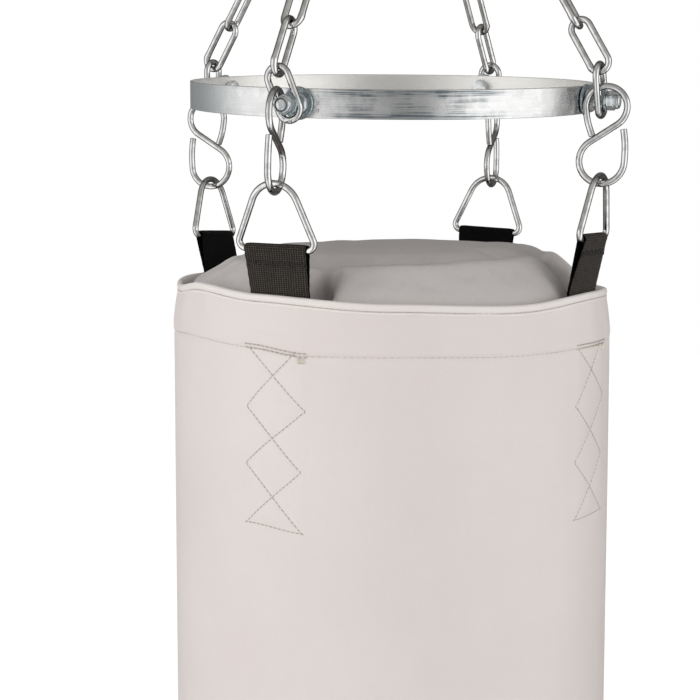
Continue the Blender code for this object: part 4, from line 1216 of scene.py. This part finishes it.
# a place on the shell; t runs 0 at the base, 1 at the hem, 2 at the rim
def shellPoint(azimuth, t, inside=False):
    rim, hem, base = rimHeight(azimuth), hemHeight(azimuth), hang["base"] + edges["baseInset"]
    z = base + (hem - base) * t if t <= 1 else hem + (rim - hem) * (t - 1)
    lean = max(0.0, t - 1)
    pushed = rimBulge(azimuth) * min(1, lean)
    if inside:
        radius = hang["bagRadius"] - shell["wall"] - shell["innerLean"] * lean * lean + pushed
        return outward(azimuth) * radius + up * z
    x, y = cos(azimuth), sin(azimuth)
    radius = hang["bagRadius"] + (noise.noise(Vector((x * 1.7, y * 1.7, z * 3.5))) - 1) * shell["drift"]
    if t < shell["footShare"]:
        radius -= shell["footRound"] * (1 - t / shell["footShare"]) ** 2
    if t > 1:
        radius += shell["hemStep"] - shell["rimLean"] * lean**1.6 + pushed
        wave = noise.noise(Vector((x * 6, y * 6, 4 + z * 12)))
        radius += wave * shell["wrinkle"] * sin(pi * min(1, lean)) * 1.2
    radius -= shell["hemGroove"] * exp(-(abs(z - hem) / shell["grooveReach"]) ** 2)
    fade = exp(-max(0.0, hem - z) / shell["wrinkleReach"])
    radius += noise.noise(Vector((azimuth * 9, 2.0, z * 22))) * shell["wrinkle"] * 0.35 * fade
    return outward(azimuth) * (radius + strapRelief(azimuth, z - hem)) + up * z


def shellMesh():
    count = shell["angles"]
    lower = [0, 0.0008, 0.002, 0.004, 0.006, 0.009] + [0.02 * k for k in range(1, 43)]
    middle = [0.845 + 0.155 * k / 74 for k in range(75)]
    upper = [1.004, 1.012, 1.025, 1.04] + [1.04 + 0.96 * k / 16 for k in range(1, 17)]
    rows = [(t, False) for t in lower + middle + upper]
    rows += [(t, True) for t in (2.0, 1.7, 1.4, 1.1, 0.95, 0.5, 0.01)]
    turns = [2 * pi * k / count for k in range(count)]
    grid = bmesh.new()
    loft(grid, [[grid.verts.new(shellPoint(turn, t, inside)) for turn in turns] for t, inside in rows], True)
    return meshFrom("outerShell", grid)


# folded binding over the rim, with a rolled top edge: out from the rim's line, and up
binding = {
    "profile": (
        (0.0004, -0.0070), (0.0013, -0.0066), (0.0015, -0.0058), (0.0013, -0.0052), (0.0005, -0.0047),
        (0.0011, -0.0041), (0.0015, -0.0030), (0.0015, -0.0008), (0.0011, 0.0002), (0.0002, 0.0007),
        (-0.0010, 0.0010), (-0.0020, 0.0006), (-0.0026, -0.0006), (-0.0028, -0.0030), (-0.0027, -0.0058),
        (-0.0022, -0.0062), (-0.0020, -0.0040), (-0.0010, -0.0010), (0.0000, -0.0040), (0.0000, -0.0068)),
    "inset": 0.0013, "lift": 0.0006, "puff": 0.10, "seam": (0.0009, 0.0041), "thread": 0.0003,
    "seamSwell": 0.35, "seamStitches": 260,
}


def bindingMeshes():
    count, rings, seam = shell["angles"], [], []
    seamOut, seamDrop = binding["seam"]
    grid = bmesh.new()
    for k in range(count):
        azimuth = 2 * pi * k / count
        out, z = outward(azimuth), rimHeight(azimuth)
        radius = hang["rimRadius"] - binding["inset"] + rimBulge(azimuth)
        puff = 1 + binding["puff"] * noise.noise(Vector((azimuth * 14, 0.3, 0.7)))
        rings.append([grid.verts.new(out * (radius + r * puff) + up * (z + h + binding["lift"]))
                      for r, h in binding["profile"]])
        seam.append(out * (radius + seamOut * puff) + up * (z - seamDrop))
    loft(grid, rings, True)
    thread = wireMesh("bindingSeam", seam, binding["thread"], True, 6,
                      lambda t: 1 + binding["seamSwell"] * sin(t * 2 * pi * binding["seamStitches"]))
    return meshFrom("rimBinding", grid), thread


# base panel with a soft edge and a turned-in welt
def basePanelMesh():
    radius, low = shell["panelRadius"], hang["base"]
    top = low + 0.0040
    return turnedMesh("basePanel", [
        (0, top), (radius - 0.002, top), (radius, low + 0.0030), (radius, low + 0.0014),
        (radius - 0.0012, low + 0.0003), (radius - 0.006, low), (radius - 0.012, low + 0.0005),
        (radius - 0.016, low), (radius * 0.5, low), (0, low)], 160, closed=False)


def makeShell():
    made = addPiece("outerShell", shellMesh(), "bag", "shell", "shell", "outer_shell", sharp=50)
    folded, thread = bindingMeshes()
    addPiece("rimBinding", folded, "bag", "binding", "shell", "rim_binding", sharp=50)
    addPiece("bindingSeam", thread, "bag", "seamThread", "shell", sharp=0)
    addPiece("basePanel", basePanelMesh(), "bag", "shell", "shell", "base_panel", sharp=50)


makeShell()
print("shell, binding and base made")


# a path on the shell; corners in millimetres round the strap's middle line and down from the hem
def surfacePath(azimuth, corners, lift=0.0001):
    points = []
    for a, b in zip(corners, corners[1:]):
        pieces = max(2, ceil(hypot(b[0] - a[0], b[1] - a[1]) / 2.5))
        points += [(a[0] + (b[0] - a[0]) * k / pieces, a[1] + (b[1] - a[1]) * k / pieces)
                   for k in range(pieces)]
    points.append(corners[-1])
    path = []
    for u, v in points:
        turn = azimuth - u / 1000 / hang["bagRadius"]
        rim, hem, base = rimHeight(turn), hemHeight(turn), hang["base"] + edges["baseInset"]
        z = hem + v / 1000
        t = 1 + (z - hem) / (rim - hem) if v > 0 else (z - base) / (hem - base)
        path.append(shellPoint(turn, t) + outward(turn) * lift)
    return path


def makeSewing():
    rows, tacks = [], []
    for i in range(4):
        azimuth = hang["strapAzimuth"] + i * quarter
        rows += [(surfacePath(azimuth, line), False) for line in (*sewing["lines"], sewing["closing"])]
        for side in (-0.5, 0.5):
            shift = side * sewing["rowsApart"]
            line = [(u, v + shift) for u, v in sewing["doubleRow"]]
            rows.append((surfacePath(azimuth, line, 0.0003), False))
        (left, high), (right, low) = sewing["tack"]
        turns = sewing["tackTurns"]
        tack = [(left + (right - left) * k / turns, high if k % 2 else low) for k in range(turns + 1)]
        tacks.append(wireMesh("tack", surfacePath(azimuth, tack, 0.0004), sewing["tackThread"], sides=6))
    mesh = stitches("shellStitches", rows, sewing["pitch"], sewing["dash"], sewing["thread"], "thread")
    addPiece("shellStitches", mesh, "bag", "thread", "shell", sharp=60)
    addPiece("tackStitches", joinMeshes("tackStitches", tacks), "bag", "tackThread", "shell", sharp=60)
    around = surfacePath(0.0, [(0, 0), (2 * pi * hang["bagRadius"] * 1000, 0)], 0.0002)[:-1]
    mesh = stitches("hemStitches", [(around, True)], sewing["hemPitch"], sewing["hemDash"],
                    sewing["hemThread"], "hemThread")
    addPiece("hemStitches", mesh, "bag", "hemThread", "shell", sharp=60)


makeSewing()
print("shell stitching made")


# straps: webbing folded over the bar, both plies down inside the shell
strap = {
    "width": 0.050, "ply": 0.0013, "tail": 0.174, "stitchDrop": 0.0085, "atRim": 0.1674, "atShell": 0.1716,
    "overBar": 0.0056, "columns": 14, "rowStep": 0.004, "pliesApart": 0.0002, "foldTurn": (-30, 215, 14),
    "edgeThin": 0.45, "ripple": 0.0001, "wavyEdge": 0.0002,
    "zigzag": 0.0015, "zigzags": 30, "pitch": 0.0029, "dash": 0.0027, "thread": 0.00045,
}


# radius and height of each row from the outer ply's tail, over the bar, to the inner ply's tail
def strapPath():
    eye = hang["wire"] / 2 + hang["gap"] + strap["ply"] / 2
    rim, hem, loose = hang["rim"], hang["hem"], strap["atRim"] + 0.0012
    outerPly = [(strap["atShell"], rim - strap["tail"]), (strap["atShell"], hem - 0.004),
                (loose, rim - 0.013),
                (strap["atRim"], rim - 0.006), (strap["atRim"], rim + 0.003), (loose, rim + 0.009)]
    path = [(False, r, z) for r, z in outerPly]
    path += [(True, eye * cos(radians(a)), eye * sin(radians(a))) for a in range(*strap["foldTurn"])]
    path += [(False, r - strap["ply"] - strap["pliesApart"], z) for r, z in reversed(outerPly)]
    return path


# every row across the webbing, level over the bar and curved like the shell below it, and which rows are
# in the fold
def strapRows(name):
    places, folded = [], []
    fold, azimuth = triangleFrame(name), strapAzimuth(name)
    for inFold, r, h in strapPath():
        asides = [strap["width"] * (k / strap["columns"] - 0.5) for k in range(strap["columns"] + 1)]
        if inFold:
            places.append([fold @ Vector((r, aside, h)) for aside in asides])
        else:
            places.append([station(azimuth - aside / r, r, h).translation for aside in asides])
    rows = []
    for (inFold, r, h), here, after in zip(strapPath(), places, places[1:]):
        gap = max((b - a).length for a, b in zip(here, after))
        pieces = max(1, ceil(gap / strap["rowStep"]))
        rows += [[a.lerp(b, n / pieces) for a, b in zip(here, after)] for n in range(pieces)]
        folded += [inFold] * pieces
    return rows + places[-1:], folded + [False]


# a place on a face of the webbing, by its length from the tail and its offset from the middle
def rowSpot(table, lengths, along, aside):
    i = max(0, min(len(lengths) - 2, sum(1 for length in lengths if length <= along) - 1))
    t = (along - lengths[i]) / (lengths[i + 1] - lengths[i])
    column = (aside / strap["width"] + 0.5) * strap["columns"]
    k = max(0, min(strap["columns"] - 1, int(column)))
    near = table[i][k].lerp(table[i][k + 1], column - k)
    far = table[i + 1][k].lerp(table[i + 1][k + 1], column - k)
    return near.lerp(far, t)


# the webbing's two faces, half a ply either side of the rows, thinner and a little wavy at the selvedges
def strapFaces(rows, lengths, seed):
    outer, inner, columns = [], [], strap["columns"]
    for i, row in enumerate(rows):
        before, after = rows[max(0, i - 1)], rows[min(len(rows) - 1, i + 1)]
        front, back = [], []
        for k in range(columns + 1):
            along = (after[k] - before[k]).normalized()
            side = (row[min(columns, k + 1)] - row[max(0, k - 1)]).normalized()
            face = side.cross(along).normalized()
            half = face * (strap["ply"] / 2 * (strap["edgeThin"] if k in (0, columns) else 1.0))
            ripple = face * (strap["ripple"] * noise.noise(row[k] * 90 + Vector((seed, 0, 0))))
            edge = 1 if k == 0 else -1 if k == columns else 0
            wavy = side * (strap["wavyEdge"] * sin(lengths[i] * 900) * edge)
            front.append(row[k] + half + ripple + wavy)
            back.append(row[k] - half + ripple + wavy)
        outer.append(front)
        inner.append(back)
    return outer, inner


# the face that looks out is worn webbing up to the bar; the rest is a darker copy of the webbing, painted
# shade
def strapMesh(outer, inner, lengths, overBar):
    grid = bmesh.new()
    sheet = grid.loops.layers.uv.new("UVMap")
    columns, last = strap["columns"], len(outer) - 1
    fronts, backs = ([[grid.verts.new(p) for p in row] for row in table] for table in (outer, inner))

    def quad(corners, spots, material=1):
        face = grid.faces.new(corners)
        face.material_index = material
        for loop, (row, col) in zip(face.loops, spots):
            loop[sheet].uv = (lengths[row], strap["width"] * col / columns)

    for i in range(last):
        for k in range(columns):
            spots = ((i, k), (i, k + 1), (i + 1, k + 1), (i + 1, k))
            quad([fronts[a][b] for a, b in spots], spots, 0 if lengths[i] < overBar else 1)
            quad([backs[a][b] for a, b in reversed(spots)], tuple(reversed(spots)))
        for k in (0, columns):
            corners = [fronts[i][k], fronts[i + 1][k], backs[i + 1][k], backs[i][k]]
            quad(corners, ((i, k), (i + 1, k), (i + 1, k), (i, k)))
    for i in (0, last):
        for k in range(columns):
            corners = [fronts[i][k], fronts[i][k + 1], backs[i][k + 1], backs[i][k]]
            quad(corners, ((i, k), (i, k + 1), (i, k + 1), (i, k)))
    mesh = meshFrom("strap", grid)
    for label in ("webbing", "webbingPaintedShade"):
        mesh.materials.append(materials[label])
    return mesh


# a zigzag row across one face holds the fold
def zigzagPath(outer, inner, lengths, center):
    points, step, count = [], strap["zigzag"], strap["zigzags"]
    for k in range(count + 1):
        along = center + (step if k % 2 else -step)
        aside = (strap["width"] / 2 - step) * (2 * k / count - 1)
        spot = rowSpot(outer, lengths, along, aside)
        points.append(spot + (spot - rowSpot(inner, lengths, along, aside)).normalized() * 0.0003)
    return points


def makeStraps():
    middle = strap["columns"] // 2
    for number, name in enumerate(stationNames):
        rows, folded = strapRows(name)
        lengths = [0.0]
        for a, b in zip(rows, rows[1:]):
            lengths.append(lengths[-1] + (b[middle] - a[middle]).length)
        foldStart = lengths[folded.index(True)]
        foldEnd = lengths[len(folded) - 1 - folded[::-1].index(True)]
        outer, inner = strapFaces(rows, lengths, number)
        mesh = strapMesh(outer, inner, lengths, foldStart + strap["overBar"])
        addPiece("strap" + camel(name), mesh, "bag", None, "webbing", "strap_" + name, sharp=50)
        zigzags = [(zigzagPath(outer, inner, lengths, center), False)
                   for center in (foldStart - strap["stitchDrop"], foldEnd + strap["stitchDrop"])]
        mesh = stitches("strapStitches", zigzags, strap["pitch"], strap["dash"], strap["thread"],
                        "blackThread")
        addPiece("strapStitches" + camel(name), mesh, "bag", "blackThread", "webbing", sharp=60)


makeStraps()
print("straps made")


# top cover: a stuffed cloth lid with a slanting side panel, blown up by cloth simulation
cover = {
    "rows": 34, "angles": 144, "crown": 0.0318, "shoulder": 0.0280, "radius": 0.1608, "panel": 0.755,
    "skirt": (0.006, 0.014, 0.024, 0.034, 0.045), "foot": 0.002, "panelBulge": 0.0045, "unevenness": 0.0016,
    "voxel": 0.005, "pressure": 3.0, "cap": 0.003, "pinned": 0.004, "frames": 20,
    "fold": 0.029, "foldShift": radians(-6.6), "foldReach": 0.08, "foldAt": 0.96, "foldLength": 0.13,
    "foldDrop": 0.6, "crease": 0.0024, "creaseWidth": 0.014, "swellPast": 0.06, "swellWidth": 0.035,
    "ripple": 0.0007, "settle": (0.012, 0.016),
    # the cover stands higher on the left and right of the photograph than in front and behind
    "left": radians(88), "right": radians(-60), "footDrop": 0.006, "footLeft": 0.004,
    "shoulderRight": 0.003, "shoulderLeft": 0.002, "fallShape": (1.25, 0.2), "crownShape": 2.2,
}


# t is 0 in the middle, 1 at the shoulder's foot
def coverPoint(azimuth, t):
    left = max(0.0, cos(azimuth - cover["left"]))
    right = max(0.0, cos(azimuth - cover["right"]))
    foot = cover["foot"] - cover["footDrop"] * (1 - left) + cover["footLeft"] * left
    shoulder = cover["shoulder"] + cover["shoulderRight"] * right - cover["shoulderLeft"] * left
    steep, steepLeft = cover["fallShape"]
    if t > cover["panel"]:
        fall = (t - cover["panel"]) / (1 - cover["panel"])
        bulge = cover["panelBulge"] * (1 - left) * sin(pi * fall)
        height = shoulder + (foot - shoulder) * fall**(steep - steepLeft * left) + bulge
    else:
        inward = 1 - t / cover["panel"]
        height = shoulder + (cover["crown"] - shoulder) * (1 - (1 - inward) ** cover["crownShape"])
    wave = noise.noise(Vector((cos(azimuth) * 2.4 * t, sin(azimuth) * 2.4 * t, 1.3)))
    height += cover["unevenness"] * wave * min(1, t * 2)
    return outward(azimuth) * (cover["radius"] * t) + up * (hang["rim"] + height)


# the seam round the top panel, and the gathers where the straps pull the cloth in
def coverFolds(place):
    azimuth, radius = atan2(-place.x, -place.y), hypot(place.x, place.y)
    t = radius / cover["radius"]
    below, reach = cover["settle"]
    lifted = max(0.0, min(1.0, (place.z - hang["rim"] + below) / reach))
    drop = cover["crease"] * exp(-((t - cover["panel"]) / cover["creaseWidth"]) ** 2)
    drop -= cover["crease"] / 2 * exp(-((t - cover["panel"] - cover["swellPast"]) / cover["swellWidth"]) ** 2)
    inward = 0.0
    for i in range(4):
        aside = wrapped(azimuth - (hang["strapAzimuth"] + i * quarter + cover["foldShift"]))
        near = exp(-(abs(aside) / cover["foldReach"]) ** 3)
        near *= exp(-((t - cover["foldAt"]) / cover["foldLength"]) ** 2)
        inward += cover["fold"] * near
        drop += cover["fold"] * cover["foldDrop"] * near
    drop += noise.noise(Vector((azimuth * 5, t * 9, 3.1))) * cover["ripple"]
    shift = Vector((place.x, place.y, 0)).normalized() * (-inward) if radius > 0.01 else Vector()
    return place + (shift - up * drop) * lifted


def coverMesh():
    grid = bmesh.new()
    turns = [2 * pi * k / cover["angles"] for k in range(cover["angles"])]
    rings = [[grid.verts.new(coverPoint(0, 0))]]
    for i in range(1, cover["rows"] + 1):
        rings.append([grid.verts.new(coverPoint(turn, i / cover["rows"])) for turn in turns])
    for depth in cover["skirt"]:
        radius = cover["radius"] + 0.0005 - depth * 0.02
        rings.append([grid.verts.new(outward(turn) * radius + up * (hang["rim"] - depth)) for turn in turns])
    rings.append([grid.verts.new((0, 0, hang["rim"] - cover["skirt"][-1]))])
    loft(grid, rings, False)
    return meshFrom("topCover", grid)


# remeshed evenly, held below the rim, and blown up by at most the cap
def blowUp(mesh):
    made = newObject("blownCover", mesh)
    mesh.remesh_voxel_size = cover["voxel"]
    bpy.context.view_layer.objects.active = made
    made.select_set(True)
    bpy.ops.object.voxel_remesh()
    start = [v.co.copy() for v in made.data.vertices]
    pins = made.vertex_groups.new(name="pins")
    pins.add([i for i, p in enumerate(start) if p.z < hang["rim"] - cover["pinned"]], 1.0, "REPLACE")
    cloth = made.modifiers.new("cloth", "CLOTH")
    cloth.settings.quality = 6
    cloth.settings.mass = 0.3
    cloth.settings.use_pressure = True
    cloth.settings.uniform_pressure_force = cover["pressure"]
    cloth.settings.vertex_group_mass = "pins"
    cloth.settings.effector_weights.gravity = 0
    cloth.point_cache.frame_start, cloth.point_cache.frame_end = 1, cover["frames"]
    for number in range(1, cover["frames"] + 1):
        bpy.context.scene.frame_set(number)
    blown = evaluated(made)
    for vertex, before in zip(blown.vertices, start):
        move = vertex.co - before
        if move.length > cover["cap"]:
            vertex.co = before + move * (cover["cap"] / move.length)
    bpy.data.objects.remove(made)
    bpy.context.scene.frame_set(1)
    return blown


def makeCover():
    mesh = blowUp(coverMesh())
    for vertex in mesh.vertices:
        vertex.co = coverFolds(vertex.co)
    made = addPiece("topCover", mesh, "bag", "cover", "cover", "top_cover", "filling", sharp=0)
    smooth = made.modifiers.new("smooth", "SUBSURF")
    smooth.levels = smooth.render_levels = 1


makeCover()
print("top cover made")


# floor, lights and the white surroundings
studio = {
    "floor": -2.1, "floorSize": 12, "floorColor": (0.86, 0.86, 0.86), "floorWhite": 0.86, "floorGlow": 1.15,
    "lamps": (("keyLeft", (-2.6, -1.2, -0.3), (0, 0, -0.8), 2.0, 35),
              ("keyRight", (2.1, -2.0, -0.3), (0, 0, -0.9), 2.0, 28),
              ("topSoft", (0, -0.4, 1.8), (0, 0, -0.6), 2.2, 3)),
    # what the metal mirrors: degrees from the front towards +X, and brightness
    "mirror": ((-180, 0.13), (-165, 0.19), (-124, 0.32), (-108, 0.55), (-95, 0.82), (-80, 0.90), (-50, 0.88),
               (-34, 0.57), (-20, 0.40), (-6, 0.31), (12, 0.23), (24, 0.31), (36, 0.90), (50, 1.0), (94, 1.0),
               (106, 0.35), (130, 0.14), (180, 0.13)),
    "mirrorAbove": (0.32, 0.31, 0.30), "mirrorLight": 1.22, "sideLight": 0.86, "topLight": 0.42,
    "lightColor": (0.99, 0.99, 1.0, 1),
}


def mixShader(tree, factor, first, second):
    return addNode(tree, "ShaderNodeMixShader", {0: factor, 1: first, 2: second}).outputs[0]


def makeFloor():
    grid = bmesh.new()
    bmesh.ops.create_grid(grid, x_segments=1, y_segments=1, size=studio["floorSize"])
    mesh = meshFrom("floor", grid, False)
    mesh.transform(Matrix.Translation((0, 0, studio["floor"])))
    made, tree, shader, spot = newMaterial("floorPaint")
    shaded = [part * 0.985 for part in studio["floorColor"]]
    color = mixColor(tree, cloud(tree, spot["Object"], 3.0), studio["floorColor"], shaded)
    setInputs(tree, shader, {"Base Color": color, "Roughness": 0.7})
    path = addNode(tree, "ShaderNodeLightPath").outputs
    glow = addNode(tree, "ShaderNodeEmission", {"Color": (1, 1, 1, 1), "Strength": studio["floorGlow"]})
    white = times(tree, path["Is Camera Ray"], studio["floorWhite"])
    bright = mixShader(tree, white, shader.outputs[0], glow.outputs[0])
    clear = addNode(tree, "ShaderNodeBsdfTransparent").outputs[0]
    seen = mixShader(tree, path["Is Glossy Ray"], bright, clear)
    setInputs(tree, tree.nodes["Material Output"], {"Surface": seen})
    mesh.materials.append(made)
    newObject("floor", mesh)


def makeLamps():
    for name, place, target, size, power in studio["lamps"]:
        data = bpy.data.lights.new(name, "AREA")
        data.shape = "SQUARE"
        data.size = size
        data.energy = power
        lamp = newObject(name, data)
        lamp.location = place
        lamp.rotation_euler = (Vector(target) - Vector(place)).to_track_quat("-Z", "Y").to_euler()
        lamp.visible_glossy = False


# the camera sees white; metal sees bright sides with darker flags between them
def makeSurroundings():
    world = bpy.data.worlds.new("studioWorld")
    bpy.context.scene.world = world
    world.use_nodes = True
    tree = world.node_tree
    tree.nodes.clear()
    spot = addNode(tree, "ShaderNodeTexCoord").outputs["Generated"]
    parts = addNode(tree, "ShaderNodeSeparateXYZ", {0: spot}).outputs
    turn = maths(tree, "ARCTAN2", parts[0], times(tree, parts[1], -1.0))
    ramp = addNode(tree, "ShaderNodeValToRGB", {"Fac": plus(tree, times(tree, turn, 0.5 / pi), 0.5)})
    stops = [((degrees + 180) / 360, (shade, shade, shade, 1)) for degrees, shade in studio["mirror"]]
    for stop, (place, color) in zip(ramp.color_ramp.elements, (stops[0], stops[-1])):
        stop.position, stop.color = place, color
    for place, color in stops[1:-1]:
        ramp.color_ramp.elements.new(place).color = color
    above = smoothRange(tree, parts[2], 0.25, 0.65)
    mirrored = mixColor(tree, above, ramp.outputs["Color"], studio["mirrorAbove"])
    strength = smoothRange(tree, parts[2], 0.05, 0.7, studio["sideLight"], studio["topLight"])
    views = (studio["lightColor"], strength), (mirrored, studio["mirrorLight"]), ((1, 1, 1, 1), 1.0)
    soft, metalView, white = (
        addNode(tree, "ShaderNodeBackground", {"Color": color, "Strength": power}).outputs[0]
        for color, power in views)
    path = addNode(tree, "ShaderNodeLightPath").outputs
    lit = mixShader(tree, path["Is Glossy Ray"], soft, metalView)
    seen = maths(tree, "MAXIMUM", path["Is Camera Ray"], path["Is Transmission Ray"])
    addNode(tree, "ShaderNodeOutputWorld", {"Surface": mixShader(tree, seen, lit, white)})


def makeStudio():
    makeFloor()
    makeLamps()
    makeSurroundings()
    bpy.context.scene.view_settings.view_transform = "Standard"


makeStudio()
print("studio made")
